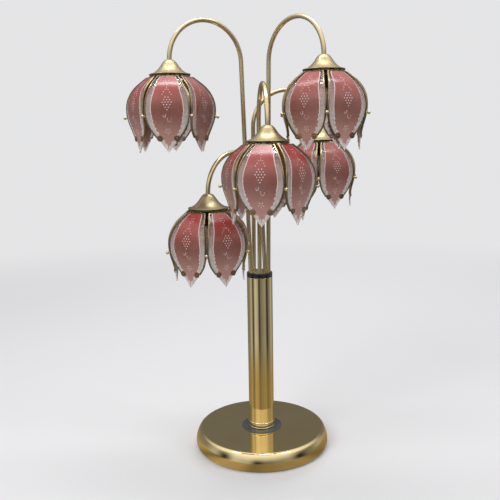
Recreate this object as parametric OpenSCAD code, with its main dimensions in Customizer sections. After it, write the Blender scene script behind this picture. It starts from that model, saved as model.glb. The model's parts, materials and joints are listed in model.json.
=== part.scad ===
// Tulip shade table lamp: a round brass base, one column and five cane shaped
// arms that turn in the collar, each with a bell cap and six glass petals.
// Millimetres, +Z up, origin at the middle of the face that the lamp rests on.
// The front of the lamp faces -Y. Azimuths are from the front, positive to +X.

/* [Base] */
// Diameter of the base at its widest
base_d = 255; // [230:1:290]
// Height of the flat top above the table
base_h = 33.5; // [33:0.5:36]
// Radius of the rolled edge round the flat top
base_edge_r = 8; // [7:0.5:9]
// Thickness of the spun brass
base_wall = 1.5; // [1:0.1:2.5]
// Thickness of the felt pad
felt_h = 2.5; // [1.5:0.5:3]

/* [Column] */
// Outer diameter of the column
column_d = 48; // [47.6:0.1:60]
// Wall of the column tube
column_wall = 1.5; // [1:0.1:1.6]
// Height of the collar's underside, where the column ends
column_top_z = 330.5; // [300:0.5:340]
// Height of the collar that shows above the column
collar_h = 9; // [8:0.5:14]

/* [Arms] */
// Radius of the ring that the five stems stand on
stem_ring_r = 17.5; // [17.3:0.1:17.6]
// Outer diameter of the arm tube
tube_d = 7.8; // [7.6:0.1:8]
// Bore of the arm tube
tube_bore = 5.6; // [5:0.1:6]
// Radius of the hook's centre line
hook_r = 67.5; // [66:0.5:69]
// Height of the lowest shade's rim
low_rim_z = 469; // [462:1:472]
// Rise from one tier of shades to the next
tier_rise = 110.5; // [109:0.5:113]

/* [Shade] */
// Radius of the cap's rim
cap_r = 34.4; // [34:0.1:35]
// Height of the cap
cap_h = 25.4; // [25:0.1:26]
// Thickness of the petal glass
glass_t = 3; // [2.5:0.1:3]
// Widest radius of the ring of petals, to the outer face of the glass
belly_r = 67.5; // [67:0.1:68.5]
// Drop from the rim to the petals' points
petal_drop = 125.5; // [124:0.5:127]
// Half the widest width of a petal's glass
petal_half_w = 34.4; // [33.5:0.1:34.4]
// Width of the brass edging beside a petal
edging_w = 2; // [1.4:0.1:2]
// Diameter of the bulb's globe
bulb_d = 45; // [40:1:50]

/* [Hidden] */
$fn = 64;

// One entry for each arm: high left, high right, middle front, low left, middle right
stem_azimuth = [-72, 72, 0, 144, -144];
hook_azimuth = [-60.8, 38.8, 4.8, -42.8, 109.8];
tier = [2, 2, 1, 0, 1];
lean = [1.9, 1.1, 4.3, 3.0, 0.6];
shade_turn = [1, 27, -12, 30, 22];
arm_count = len(tier);
petal_count = 6;
petal_step = 360 / petal_count;

// Base
edge_steps = 96;
side_r = 40;
widest_z = 9;
under_r = 9.5;
well_r = 20.5;
weight_r = 114;
weight_z = 5;
weight_top_z = 19;
hub_r = 32;
wire_slot_w = 12;
nut_well_r = 12;
nut_well_h = 9;
cover_r = 120.5;
cover_t = 1.2;
felt_r = 114;
screw_angles = [60, 180, 300];
screw_ring_r = 85;
screw_r = 1.5;
screw_head_r = 3.4;
screw_head_h = 1.6;
screw_h = 9;
touch_box = [46, 36, 11];
gland_z = 12;
gland_flange_r = 7.5;
gland_neck_r = 5;
gland_bore_r = 3.2;

// Column and collar
washer_r = 38.5;
washer_t = 1.3;
column_foot_z = base_h + washer_t;
foot_ring_h = 12;
foot_ring_wall = 0.8;
foot_bead_r = 1.4;
collar_top_z = column_top_z + collar_h;
collar_edge_r = 2.5;
plug_h = 10;
plate_h = 4;
plate_z = column_top_z - plug_h - plate_h;
stem_fit = 0.075;
stem_nut_r = 4.7;
stem_nut_h = 4.5;
rod_r = 4;
rod_fit = 0.1;
rod_end = 2.5;
tie_nut_r = 8;
tie_nut_h = 6;
tie_washer_r = 10;
tie_washer_t = 1.2;

// Arms
spigot_r = 2.8;
spigot_bore_r = 1.8;
spigot_h = 11;
lead_r = 1.3;
kink_z = collar_top_z + 8;
kink_r = 200;
lap = 0.5;
draw_in = 0.02;

// Cap, hanger, lampholder and bulb, with heights measured up from the rim
cap_bead_r = 1.2;
cap_wall = 1;
cap_steps = 12;
cap_curve = [[5, cap_h], [14.5, cap_h - 2.4], [13.5, 8.5], [cap_r - 0.6, 1.2]];
holder_r = 14;
holder_bottom = -28;
holder_ring_h = 3;
holder_seat = 6;
holder_top = 12;
flange_r = 17;
flange_t = 1.4;
tube_end = 7;
hanger_t = 1.2;
hanger_flat_r = 30.5;
hanger_r = 34.4;
hanger_dish = 2.4;
notch_r = 5.5;
globe_z = holder_bottom - 9 - bulb_d / 2;
bulb_wall = 1;
bulb_neck_r = 6.8;

// Petal profile, in a vertical plane through the shade's axis: a straight
// shoulder, a tight arc, a long arc and a reversed arc that lifts the point out
belly_drop = 54;
shoulder_angle = 50;
shoulder_r = 52;
shoulder_run = 26;
flank_r = 95;
flank_angle = 17;
lip_r = 100;
lip_angle = 27;
shoulder_centre = [belly_r - shoulder_r, -belly_drop];
flank_centre = [belly_r - flank_r, -belly_drop];
flank_end = [cos(flank_angle), -sin(flank_angle)];
lip_centre = flank_centre + (flank_r + lip_r) * flank_end;

// Petal outline, seen square on, from its top edge to its point
top_drop = 4.6;
widest_drop = 59;
upper_side_r = 90.2;
upper_side_angle = 40;
lower_side_r = 62;
lower_side_angle = 32.2;
point_half_angle = 37.3;
edging_step = 0.3;

// Lug that hangs a petal's edging from the hanger, and tabs that lap over its glass
lug_w = 6;
lug_r = 28.5;
tab_r = 3.8;
tab_t = 0.9;
tab_gap = 0.1;
tab_side = 13.5;
tab_drop = 103;

// Bead screw that joins two petals' edgings
bead_drop = 68.3;
bead_r = 2.7;
bead_reach = 77.6;
bead_pin_r = 0.8;
bead_bar = [1, 6, 4];
bead_bar_reach = 68.4;

// ---------- places ----------

function rim_z(k) = low_rim_z + tier_rise * tier[k];
function hook_centre_z(k) = rim_z(k) + cap_h;
function lean_length(k) = (hook_centre_z(k) + hook_r * sin(lean[k]) - kink_z) / cos(lean[k]);
function hook_centre_x(k) = lean_length(k) * sin(lean[k]) + hook_r * cos(lean[k]);
function shade_x(k) = hook_centre_x(k) + hook_r;

// A cylinder or cone frustum given by the two heights that it spans
module round_bar(r, z0, z1) {
    translate([0, 0, z0]) cylinder(r = r, h = z1 - z0);
}

// Children are drawn about a stem's axis, with +X along the hook
module on_stem(k) {
    rotate([0, 0, stem_azimuth[k] - 90])
        translate([stem_ring_r, 0, 0])
            rotate([0, 0, hook_azimuth[k] - stem_azimuth[k]])
                children();
}

// Children are drawn about a shade's axis, with z = 0 at the rim and +X along petal 0
module on_shade(k) {
    on_stem(k)
        translate([shade_x(k), 0, rim_z(k)])
            rotate([0, 0, shade_turn[k] - hook_azimuth[k]])
                children();
}

module at_stems() {
    for (a = stem_azimuth)
        rotate([0, 0, a - 90]) translate([stem_ring_r, 0, 0]) children();
}

module at_cover_screws() {
    for (a = screw_angles)
        rotate([0, 0, a]) translate([screw_ring_r, 0, 0]) children();
}

module round_petals(offset_angle = 0) {
    for (i = [0 : petal_count - 1])
        rotate([0, 0, i * petal_step + offset_angle]) children();
}

// ---------- base ----------

// Half section of the base, inset by t from its outer face: flat top, rolled
// edge, side that bulges out to its widest, and a tucked under lower edge
module base_section(t) {
    side_x = base_d / 2 - side_r;
    under_x = base_d / 2 - under_r;
    roll = asin((base_h - base_edge_r - widest_z) / (side_r - base_edge_r));
    edge_x = side_x + (side_r - base_edge_r) * cos(roll);
    edge_z = base_h - base_edge_r;
    translate([0, felt_h]) square([edge_x, base_h - felt_h - t]);
    translate([edge_x, edge_z]) circle(r = base_edge_r - t, $fn = edge_steps);
    intersection() {
        translate([side_x, widest_z]) circle(r = side_r - t, $fn = 2 * edge_steps);
        translate([side_x, widest_z])
            polygon([[0, 0], [2 * side_r, 0], [2 * side_r * cos(roll), 2 * side_r * sin(roll)]]);
    }
    translate([0, felt_h]) square([under_x, widest_z - felt_h + lap]);
    intersection() {
        translate([under_x, widest_z]) circle(r = under_r - t, $fn = edge_steps);
        translate([under_x - 1, felt_h]) square([under_r + 1, widest_z - felt_h]);
    }
}

module base_shell() {
    color("gold") difference() {
        rotate_extrude($fn = edge_steps) difference() {
            base_section(0);
            base_section(base_wall);
            translate([0, base_h - base_wall - 1]) square([well_r, base_wall + 2]);
            translate([0, felt_h - 1]) square([base_d / 2 - under_r, base_wall]);
        }
        translate([0, base_d / 2 - 12, gland_z]) rotate([-90, 0, 0]) cylinder(r = gland_neck_r, h = 20);
    }
}

module base_weight() {
    hub_top_z = base_h - base_wall;
    color("dimgray") difference() {
        union() {
            round_bar(weight_r, weight_z, weight_top_z, $fn = edge_steps);
            round_bar(hub_r, weight_top_z - lap, hub_top_z);
        }
        round_bar(well_r, weight_top_z, hub_top_z + 1);
        round_bar(rod_r + rod_fit, 0, weight_top_z + 1);
        round_bar(nut_well_r, 0, weight_z + nut_well_h);
        translate([0, -wire_slot_w / 2, weight_top_z]) cube([hub_r + 1, wire_slot_w, base_h]);
        at_cover_screws() round_bar(screw_r + rod_fit, 0, weight_z + screw_h);
    }
}

// Switch that answers a touch on the brass, on top of the weight
module touch_module() {
    color("black") translate([hub_r + 6, -touch_box[1] / 2, weight_top_z]) cube(touch_box);
}

module base_cover() {
    color("silver") difference() {
        round_bar(cover_r, felt_h, felt_h + cover_t);
        at_cover_screws() round_bar(screw_r + rod_fit, 0, screw_h);
    }
}

module cover_screws() {
    color("silver") at_cover_screws() {
        round_bar(screw_head_r, felt_h - screw_head_h, felt_h);
        round_bar(screw_r, felt_h - lap, felt_h + screw_h);
    }
}

module felt_pad() {
    color("darkgreen") difference() {
        cylinder(r = felt_r, h = felt_h, $fn = edge_steps);
        at_cover_screws() round_bar(screw_head_r + 1, -1, felt_h + 1);
    }
}

// Bush in the back of the base where the supply lead would come in
module cord_gland() {
    color("black") translate([0, base_d / 2, gland_z]) rotate([-90, 0, 0]) difference() {
        union() {
            translate([0, 0, 0.3]) cylinder(r1 = gland_flange_r, r2 = gland_flange_r - 1.5, h = 3);
            round_bar(gland_neck_r - rod_fit, -6.2, 1);
            round_bar(gland_flange_r - 1, -6.2, -3.6);
        }
        round_bar(gland_bore_r, -7, 5);
    }
}

// ---------- column ----------

module seat_washer() {
    color("lightslategray") difference() {
        round_bar(washer_r, base_h, column_foot_z);
        round_bar(well_r, base_h - 1, column_foot_z + 1);
    }
}

// Ring round the foot of the column with a bead at its bottom and one at its top
module foot_ring() {
    color("gold") rotate_extrude($fn = edge_steps) translate([column_d / 2 + 0.05, column_foot_z]) {
        square([foot_ring_wall, foot_ring_h]);
        for (z = [foot_bead_r, foot_ring_h - foot_bead_r])
            intersection() {
                translate([0.1, z]) circle(r = foot_bead_r);
                square([2 * foot_bead_r, foot_ring_h]);
            }
    }
}

module column_tube() {
    color("gold") difference() {
        round_bar(column_d / 2, column_foot_z, column_top_z);
        round_bar(column_d / 2 - column_wall, column_foot_z - 1, column_top_z + 1);
    }
}

module collar() {
    r = column_d / 2;
    color("black") difference() {
        rotate_extrude($fn = edge_steps) {
            translate([0, column_top_z - plug_h]) square([r - column_wall - rod_fit, plug_h + 1]);
            translate([0, column_top_z]) square([r, collar_h - collar_edge_r]);
            translate([0, column_top_z]) square([r - collar_edge_r, collar_h]);
            translate([r - collar_edge_r, collar_top_z - collar_edge_r]) circle(r = collar_edge_r);
        }
        at_stems() round_bar(tube_d / 2 + stem_fit, plate_z, collar_top_z + 1);
        round_bar(rod_r + rod_fit, plate_z, column_top_z + rod_end + 0.5);
    }
}

module clamp_plate() {
    plate_top_z = plate_z + plate_h;
    color("silver") difference() {
        round_bar(column_d / 2 - column_wall - 2 * rod_fit, plate_z, plate_top_z);
        at_stems() round_bar(spigot_r + stem_fit, plate_z - 1, plate_top_z + 1);
        round_bar(rod_r + rod_fit, plate_z - 1, plate_top_z + 1);
    }
}

module stem_nuts() {
    color("silver") at_stems() difference() {
        round_bar(stem_nut_r, plate_z - stem_nut_h, plate_z, $fn = 6);
        round_bar(spigot_r + stem_fit, plate_z - stem_nut_h - 1, plate_z + 1);
    }
}

module tie_rod() {
    color("silver") round_bar(rod_r, weight_z + 0.5, column_top_z + rod_end);
}

module tie_nut() {
    seat_z = weight_z + nut_well_h - tie_washer_t;
    color("silver") difference() {
        union() {
            round_bar(tie_washer_r, seat_z, seat_z + tie_washer_t);
            round_bar(tie_nut_r, seat_z - tie_nut_h, seat_z + rod_fit, $fn = 6);
        }
        round_bar(rod_r + rod_fit / 2, 0, seat_z + 5);
    }
}

// ---------- arms ----------

// A piece of a bend round a centre at [x, z] in the arm's plane, from angle a0 to a1.
// Bending draws the tube in a little, so straight lengths lap over its ends.
module arm_bend(x, z, centre_r, r, a0, a1) {
    translate([x, 0, z]) rotate([90, 0, 0]) rotate([0, 0, a0])
        rotate_extrude(angle = a1 - a0, $fn = edge_steps) translate([centre_r, 0]) circle(r = r - draw_in);
}

// The arm's centre line as a round bar of radius r, from z0 up the stem and
// over the hook to the height z1 above the rim
module arm_bar(k, r, z0, z1) {
    half = kink_r * tan(lean[k] / 2);
    round_bar(r, z0, kink_z - half + lap);
    arm_bend(kink_r, kink_z - half, kink_r, r, 180 - lean[k], 180);
    translate([0, 0, kink_z]) rotate([0, lean[k], 0]) round_bar(r, half - lap, lean_length(k) + lap);
    arm_bend(hook_centre_x(k), hook_centre_z(k), hook_r, r, 0, 180 - lean[k]);
    translate([shade_x(k), 0, 0]) round_bar(r, rim_z(k) + z1, hook_centre_z(k) + lap);
}

module arm_tube(k) {
    seat_z = plate_z + plate_h;
    color("goldenrod") on_stem(k) difference() {
        union() {
            arm_bar(k, tube_d / 2, seat_z, tube_end);
            round_bar(spigot_r, seat_z - spigot_h, seat_z + 1);
        }
        arm_bar(k, tube_bore / 2, seat_z + 2, tube_end - 1);
        round_bar(spigot_bore_r, seat_z - spigot_h - 1, seat_z + 3);
    }
}

// Wires from the base to the lampholder, as one round lead inside the tube
module arm_lead(k) {
    color("white") on_stem(k) arm_bar(k, lead_r, weight_top_z + 2, holder_seat + lap);
}

// ---------- caps, hangers, lampholders and bulbs ----------

function cap_point(t) = pow(1 - t, 3) * cap_curve[0] + 3 * t * pow(1 - t, 2) * cap_curve[1]
    + 3 * t * t * (1 - t) * cap_curve[2] + pow(t, 3) * cap_curve[3];
function cap_slope(t) = pow(1 - t, 2) * (cap_curve[1] - cap_curve[0])
    + 2 * t * (1 - t) * (cap_curve[2] - cap_curve[1]) + t * t * (cap_curve[3] - cap_curve[2]);
function cap_inward(t) = let (s = cap_slope(t)) [s[1], -s[0]] / norm(s);

module cap(k) {
    steps = [for (i = [0 : cap_steps]) i / cap_steps];
    outer = [for (t = steps) cap_point(t)];
    inner = [for (t = steps) cap_point(1 - t) + cap_wall * cap_inward(1 - t)];
    color("gold") on_shade(k) difference() {
        union() {
            rotate_extrude($fn = edge_steps)
                polygon(concat([[0, cap_h]], outer, inner, [[0, cap_h - cap_wall]]));
            rotate_extrude($fn = edge_steps) translate([cap_r - cap_bead_r, cap_bead_r])
                circle(r = cap_bead_r, $fn = 24);
        }
        round_bar(tube_d / 2 + rod_fit, holder_top, cap_h + 1);
    }
}

// Stamped ring, clamped on the lampholder's flange, with a dished rim that has
// a round notch over the middle of each petal
module petal_hanger(k) {
    half_t = hanger_t / 2;
    color("gold") on_shade(k) difference() {
        rotate_extrude($fn = edge_steps) polygon([
            [holder_r + rod_fit, -half_t], [hanger_flat_r, -half_t], [hanger_r, -half_t - hanger_dish],
            [hanger_r, half_t - hanger_dish], [hanger_flat_r, half_t], [holder_r + rod_fit, half_t]
        ]);
        round_petals() translate([hanger_flat_r + notch_r - 0.5, 0, 0]) round_bar(notch_r, -5, 2);
    }
}

module lampholder(k) {
    flange_z = -hanger_t / 2 - flange_t;
    color("black") on_shade(k) difference() {
        union() {
            round_bar(holder_r, holder_bottom, holder_seat);
            translate([0, 0, holder_seat]) cylinder(r1 = holder_r, r2 = 8, h = holder_top - holder_seat);
            round_bar(holder_r + 0.7, holder_bottom, holder_bottom + holder_ring_h);
            round_bar(flange_r, flange_z, flange_z + flange_t);
        }
        round_bar(tube_d / 2 + rod_fit / 2, holder_seat, holder_top + 1);
        round_bar(2.4, -6, holder_seat + 1);
        round_bar(bulb_neck_r + 0.5, holder_bottom - 1, -5);
    }
}

// Golf ball bulb: a blown globe on a screw cap, hollow and open at the cap's end
module bulb(k) {
    globe_r = bulb_d / 2;
    color("white") on_shade(k) difference() {
        union() {
            translate([0, 0, globe_z]) sphere(r = globe_r);
            translate([0, 0, globe_z]) cylinder(r1 = globe_r - 2, r2 = bulb_neck_r, h = globe_r + 9);
            round_bar(bulb_neck_r, holder_bottom - 1, -10);
            round_bar(3.5, -11, -7);
        }
        translate([0, 0, globe_z]) sphere(r = globe_r - bulb_wall);
        round_bar(2.5, globe_z, 0);
    }
}

// ---------- petals ----------

// The part of a circular band from angle a0 to angle a1
module arc_band(r_in, r_out, a0, a1) {
    far = 2 * r_out;
    mid = (a0 + a1) / 2;
    intersection() {
        difference() {
            circle(r = r_out, $fn = 128);
            circle(r = r_in, $fn = 128);
        }
        polygon([[0, 0], far * [cos(a0), sin(a0)], far * [cos(mid), sin(mid)], far * [cos(a1), sin(a1)]]);
    }
}

// Section of a petal through its middle, grown by t on both faces
module petal_section(t) {
    inner = glass_t + t;
    translate(shoulder_centre) {
        arc_band(shoulder_r - inner, shoulder_r + t, 0, shoulder_angle);
        rotate(shoulder_angle) translate([shoulder_r - inner, 0]) square([inner + t, shoulder_run]);
    }
    translate(flank_centre) arc_band(flank_r - inner, flank_r + t, -flank_angle, 0);
    translate(lip_centre)
        arc_band(lip_r - t, lip_r + inner, 180 - flank_angle, 180 - flank_angle + lip_angle);
}

// Half outline of a petal, grown sideways by g, from above the top edge to the point
function side_point(r, g, a) = [petal_half_w - r + (r + g) * cos(a), -widest_drop + (r + g) * sin(a)];
function half_outline(g) = concat(
    [for (i = [8 : -1 : 0]) side_point(upper_side_r, g, upper_side_angle * i / 8)],
    [for (i = [1 : 5]) side_point(lower_side_r, g, -lower_side_angle * i / 5)],
    [[0, -petal_drop - g / sin(point_half_angle)]]
);

// Whole outline, grown by g and cut off level between two drops
module petal_outline(g, top, bottom) {
    half = half_outline(g);
    left = [for (i = [len(half) - 2 : -1 : 0]) [-half[i][0], half[i][1]]];
    intersection() {
        polygon(concat(half, left));
        translate([-petal_half_w - 10, -bottom]) square([2 * petal_half_w + 20, bottom - top]);
    }
}

// A sheet with the petal's section, square across, wider than the petal
module petal_sheet(t) {
    rotate([90, 0, 0])
        linear_extrude(height = 2 * petal_half_w + 10, center = true)
            petal_section(t);
}

module outward_bar() {
    rotate([90, 0, 90]) linear_extrude(height = 100) children();
}

module glass_petals(k) {
    color("palevioletred") on_shade(k) round_petals() intersection() {
        petal_sheet(0);
        outward_bar() petal_outline(0, top_drop, 2 * petal_drop);
    }
}

// Brass edging across a petal's top and down its sides, as far as two round tabs,
// and the lug that it hangs by
module petal_frames(k) {
    tab_turn = asin((tab_drop + lip_centre[1]) / lip_r);
    edging_top = top_drop - 1.4;
    color("goldenrod") on_shade(k) round_petals() {
        intersection() {
            petal_sheet(edging_step);
            outward_bar() difference() {
                petal_outline(edging_w, edging_top, tab_drop);
                petal_outline(0, top_drop, 2 * petal_drop);
            }
        }
        translate([lug_r, -lug_w / 2, -top_drop + 0.2]) cube([4, lug_w, 3.2]);
        translate([lug_r - 6, -lug_w / 2, -hanger_t / 2 - 1.1]) cube([7, lug_w, 1]);
        for (side = [-1, 1])
            translate([lip_centre[0], side * tab_side, lip_centre[1]])
                rotate([0, -90 - tab_turn, 0])
                    round_bar(tab_r, lip_r - tab_gap - tab_t, lip_r - tab_gap);
    }
}

// Round headed screw in each gap, with a bar behind the two edgings that it holds
module bead_screws(k) {
    color("gold") on_shade(k) round_petals(petal_step / 2) translate([0, 0, -bead_drop]) {
        translate([bead_reach, 0, 0]) sphere(r = bead_r);
        rotate([0, 90, 0]) round_bar(bead_pin_r, bead_bar_reach, bead_reach);
        translate([bead_bar_reach, -bead_bar[1] / 2, -bead_bar[2] / 2]) cube(bead_bar);
    }
}

felt_pad();
base_cover();
cover_screws();
base_weight();
touch_module();
base_shell();
cord_gland();
seat_washer();
foot_ring();
column_tube();
collar();
clamp_plate();
stem_nuts();
tie_rod();
tie_nut();
for (k = [0 : arm_count - 1]) {
    arm_tube(k);
    arm_lead(k);
    cap(k);
    petal_hanger(k);
    lampholder(k);
    bulb(k);
    glass_petals(k);
    petal_frames(k);
    bead_screws(k);
}
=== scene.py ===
"""Looks of a tulip shade table lamp, built round its packed construction model.

Five cane shaped arms stand in a black collar on a polished brass column, and each
hangs a shade of six pink glass petals under a bell cap. Lengths inside the classes
are in millimetres, as a lamp maker would write them, and turn into metres where a
mesh is placed. Places come from the construction model.
"""

from __future__ import annotations

import json
import logging
import math
import random
from dataclasses import dataclass, field
from enum import Enum
from typing import Callable, Iterable, Sequence

import bmesh
import bpy
from mathutils import Matrix, Vector

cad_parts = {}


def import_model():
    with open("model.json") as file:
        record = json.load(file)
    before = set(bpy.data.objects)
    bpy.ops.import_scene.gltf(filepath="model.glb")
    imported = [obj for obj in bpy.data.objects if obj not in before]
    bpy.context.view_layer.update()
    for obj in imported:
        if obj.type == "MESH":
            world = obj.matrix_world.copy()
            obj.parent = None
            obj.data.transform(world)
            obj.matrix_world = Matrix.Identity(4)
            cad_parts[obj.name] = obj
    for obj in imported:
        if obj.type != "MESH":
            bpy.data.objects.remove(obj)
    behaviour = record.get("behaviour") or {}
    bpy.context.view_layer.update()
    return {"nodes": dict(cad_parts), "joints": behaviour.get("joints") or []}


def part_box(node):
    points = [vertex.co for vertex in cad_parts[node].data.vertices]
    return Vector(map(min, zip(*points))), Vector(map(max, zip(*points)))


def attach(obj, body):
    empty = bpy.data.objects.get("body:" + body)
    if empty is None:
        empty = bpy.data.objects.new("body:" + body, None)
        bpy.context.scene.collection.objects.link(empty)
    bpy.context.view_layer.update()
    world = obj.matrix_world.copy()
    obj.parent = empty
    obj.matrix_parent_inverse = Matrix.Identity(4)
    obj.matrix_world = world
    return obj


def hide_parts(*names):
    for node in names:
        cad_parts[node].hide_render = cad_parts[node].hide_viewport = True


LOG = logging.getLogger("tulip_lamp")
MM = 0.001
TURN = 2 * math.pi
MERGE = 2e-7

Rgb = tuple[float, float, float]
Pair = tuple[float, float]
Placer = Callable[[float, float], Vector]
Dot = tuple[float, float, float, float, float]


# ---------------------------------------------------------------- small sums


def smooth_step(low: float, high: float, value: float) -> float:
    """Returns 0 below low, 1 above high, and a smooth rise between them."""
    share = min(max((value - low) / (high - low), 0.0), 1.0)
    return share * share * (3 - 2 * share)


def arc(centre: Pair, radius: float, start: float, end: float, steps: int) -> list[Pair]:
    """Points along an arc in a section.

    Args:
        centre: The arc's centre.
        radius: Its radius.
        start: Angle of the first point in degrees.
        end: Angle of the last point in degrees.
        steps: Number of straight steps.

    Returns:
        The points, both ends included.
    """
    angles = (math.radians(start + (end - start) * i / steps) for i in range(steps + 1))
    return [(centre[0] + radius * math.cos(a), centre[1] + radius * math.sin(a)) for a in angles]


def bezier(points: Sequence[Pair], steps: int) -> list[Pair]:
    """Points along a cubic curve that is given by its four control points.

    Args:
        points: The four control points.
        steps: Number of straight steps.

    Returns:
        The points, both ends included.
    """
    a, b, c, d = (Vector(p) for p in points)
    shares = (i / steps for i in range(steps + 1))
    curve = (a * (1 - t) ** 3 + b * 3 * t * (1 - t) ** 2 + c * 3 * t * t * (1 - t) + d * t**3
             for t in shares)
    return [(p.x, p.y) for p in curve]


def inset_line(points: Sequence[Pair], distance: float) -> list[Pair]:
    """Moves an open line sideways, to its right hand side as it is walked.

    Args:
        points: The line's points.
        distance: How far it moves.

    Returns:
        The moved points.
    """
    moved = []
    for i, (x, y) in enumerate(points):
        before, after = points[max(i - 1, 0)], points[min(i + 1, len(points) - 1)]
        along = Vector((after[0] - before[0], after[1] - before[1])).normalized()
        moved.append((x + along.y * distance, y - along.x * distance))
    return moved


# ---------------------------------------------------------------- mesh making


class Workpiece:
    """One piece on the bench: a mesh in millimetres that ends up as an object in metres."""

    def __init__(self) -> None:
        """Starts with an empty mesh."""
        self.bm = bmesh.new()
        self.uv = self.bm.loops.layers.uv.new("surface")

    def place(self, verts: Iterable[bmesh.types.BMVert], matrix: Matrix) -> None:
        """Moves some of the mesh by a matrix."""
        bmesh.ops.transform(self.bm, matrix=matrix, verts=list(verts))

    def spin(self, section: Sequence[Pair], steps: int, matrix: Matrix = Matrix.Identity(4),
             material: int = 0) -> None:
        """Spins a closed section of radius and height round the Z axis, and then places it.

        Args:
            section: Points of radius and height, in order round the section.
            steps: Number of steps in the full turn.
            matrix: Where the spun shape goes.
            material: Index of the material that it takes.
        """
        before = set(self.bm.verts)
        verts = [self.bm.verts.new((r, 0, z)) for r, z in section]
        edges = [self.bm.edges.new(ends) for ends in zip(verts, verts[1:] + verts[:1])]
        bmesh.ops.spin(self.bm, geom=verts + edges, cent=(0, 0, 0), axis=(0, 0, 1), angle=TURN,
                       steps=steps, use_merge=True)
        made = [v for v in self.bm.verts if v not in before]
        bmesh.ops.remove_doubles(self.bm, verts=made, dist=MERGE / MM)
        made = [v for v in self.bm.verts if v not in before]
        self._wrap(made, material)
        self.place(made, matrix)

    def _wrap(self, verts: Iterable[bmesh.types.BMVert], material: int) -> None:
        """Lays a UV map round a spun shape, in millimetres along and across its turning marks.

        Args:
            verts: The spun shape's vertices, before they are placed.
            material: Index of the material that it takes.
        """
        for face in {f for v in verts for f in v.link_faces}:
            face.material_index = material
            middle = face.calc_center_median()
            facing = math.atan2(middle.y, middle.x)
            for loop in face.loops:
                x, y, z = loop.vert.co
                radius = math.hypot(x, y)
                angle = math.atan2(y, x) if radius > MERGE else facing
                turn = (angle - facing + math.pi) % TURN - math.pi + facing
                loop[self.uv].uv = (turn * max(radius, 1.0), radius - z)

    def grid(self, columns: int, rows: int, placer: Placer, material: int = 0,
             uv: Callable[[float, float], Pair] | None = None) -> list[bmesh.types.BMFace]:
        """Makes a grid of quads and lays it on a surface.

        Args:
            columns: Number of quads along the first share.
            rows: Number of quads along the second share.
            placer: Gives the place for two shares from 0 to 1.
            material: Index of the material that it takes.
            uv: Gives the UV point for the same shares; the shares themselves if left out.

        Returns:
            The new faces.
        """
        made = bmesh.ops.create_grid(self.bm, x_segments=columns, y_segments=rows, size=0.5)["verts"]
        shares = {v: (v.co.x + 0.5, v.co.y + 0.5) for v in made}
        for vert, (s, t) in shares.items():
            vert.co = placer(s, t)
        faces = list({f for v in made for f in v.link_faces})
        for face in faces:
            face.material_index = material
            for loop in face.loops:
                point = shares[loop.vert]
                loop[self.uv].uv = uv(*point) if uv else point
        return faces

    def box(self, size: Sequence[float], matrix: Matrix, edge: float = 0.3, material: int = 0) -> None:
        """Makes a box with bevelled edges round the origin, and then places it.

        Args:
            size: Its three sides.
            matrix: Where the box goes.
            edge: Width of the bevel on its edges.
            material: Index of the material that it takes.
        """
        before = set(self.bm.verts)
        bmesh.ops.create_cube(self.bm, size=1, matrix=Matrix.Diagonal((*size, 1)))
        edges = [e for e in self.bm.edges if e.verts[0] not in before]
        bmesh.ops.bevel(self.bm, geom=edges, offset=edge, segments=2, profile=0.5, affect="EDGES",
                        material=-1, clamp_overlap=True)
        made = [v for v in self.bm.verts if v not in before]
        for face in {f for v in made for f in v.link_faces}:
            face.material_index = material
        self.place(made, matrix)

    def pierced_disc(self, radius: float, holes: Sequence[tuple[float, Vector]], low: float,
                     high: float) -> None:
        """Makes a flat disc with round holes in it.

        Args:
            radius: The disc's radius.
            holes: Radius and centre of each hole.
            low: Height of its underside.
            high: Height of its top.
        """
        for ring, centre in [(radius, Vector((0, 0, 0))), *holes]:
            bmesh.ops.create_circle(self.bm, segments=96, radius=ring,
                                    matrix=Matrix.Translation((centre.x, centre.y, low)))
        bmesh.ops.triangle_fill(self.bm, use_beauty=True, edges=self.bm.edges[:])
        raised = bmesh.ops.extrude_face_region(self.bm, geom=self.bm.faces[:])["geom"]
        lifted = [v for v in raised if isinstance(v, bmesh.types.BMVert)]
        bmesh.ops.translate(self.bm, vec=(0, 0, high - low), verts=lifted)

    def close_holes(self, material: int) -> None:
        """Merges what touches and fills every open edge loop.

        Args:
            material: Index of the material that the new faces take.
        """
        bmesh.ops.remove_doubles(self.bm, verts=self.bm.verts, dist=MERGE / MM)
        open_edges = [e for e in self.bm.edges if e.is_boundary]
        for face in bmesh.ops.holes_fill(self.bm, edges=open_edges, sides=0)["faces"]:
            face.material_index = material

    def deliver(self, name: str, body: str, materials: Sequence[bpy.types.Material],
                replaces: Sequence[str] = (), sharp: float = 38.0) -> bpy.types.Object:
        """Turns the mesh into an object that rides on a body of the construction model.

        Args:
            name: The piece's name.
            body: The body that it moves with.
            materials: Its materials, in the order of the faces' indices.
            replaces: The construction nodes that it stands for.
            sharp: Edges that turn by more than this many degrees stay sharp.

        Returns:
            The new object.
        """
        bmesh.ops.remove_doubles(self.bm, verts=self.bm.verts, dist=MERGE / MM)
        bmesh.ops.recalc_face_normals(self.bm, faces=self.bm.faces)
        bmesh.ops.scale(self.bm, vec=(MM, MM, MM), verts=self.bm.verts)
        for face in self.bm.faces:
            face.smooth = True
        mesh = bpy.data.meshes.new(name)
        self.bm.to_mesh(mesh)
        self.bm.free()
        mesh.set_sharp_from_angle(angle=math.radians(sharp))
        for material in materials:
            mesh.materials.append(material)
        piece = bpy.data.objects.new(name, mesh)
        bpy.context.scene.collection.objects.link(piece)
        weighted = piece.modifiers.new("even_shading", "WEIGHTED_NORMAL")
        weighted.keep_sharp = True
        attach(piece, body)
        if replaces:
            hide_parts(*replaces)
        LOG.info("%s: %d faces on %s", name, len(mesh.polygons), body)
        return piece


# ---------------------------------------------------------------- finishes


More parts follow.
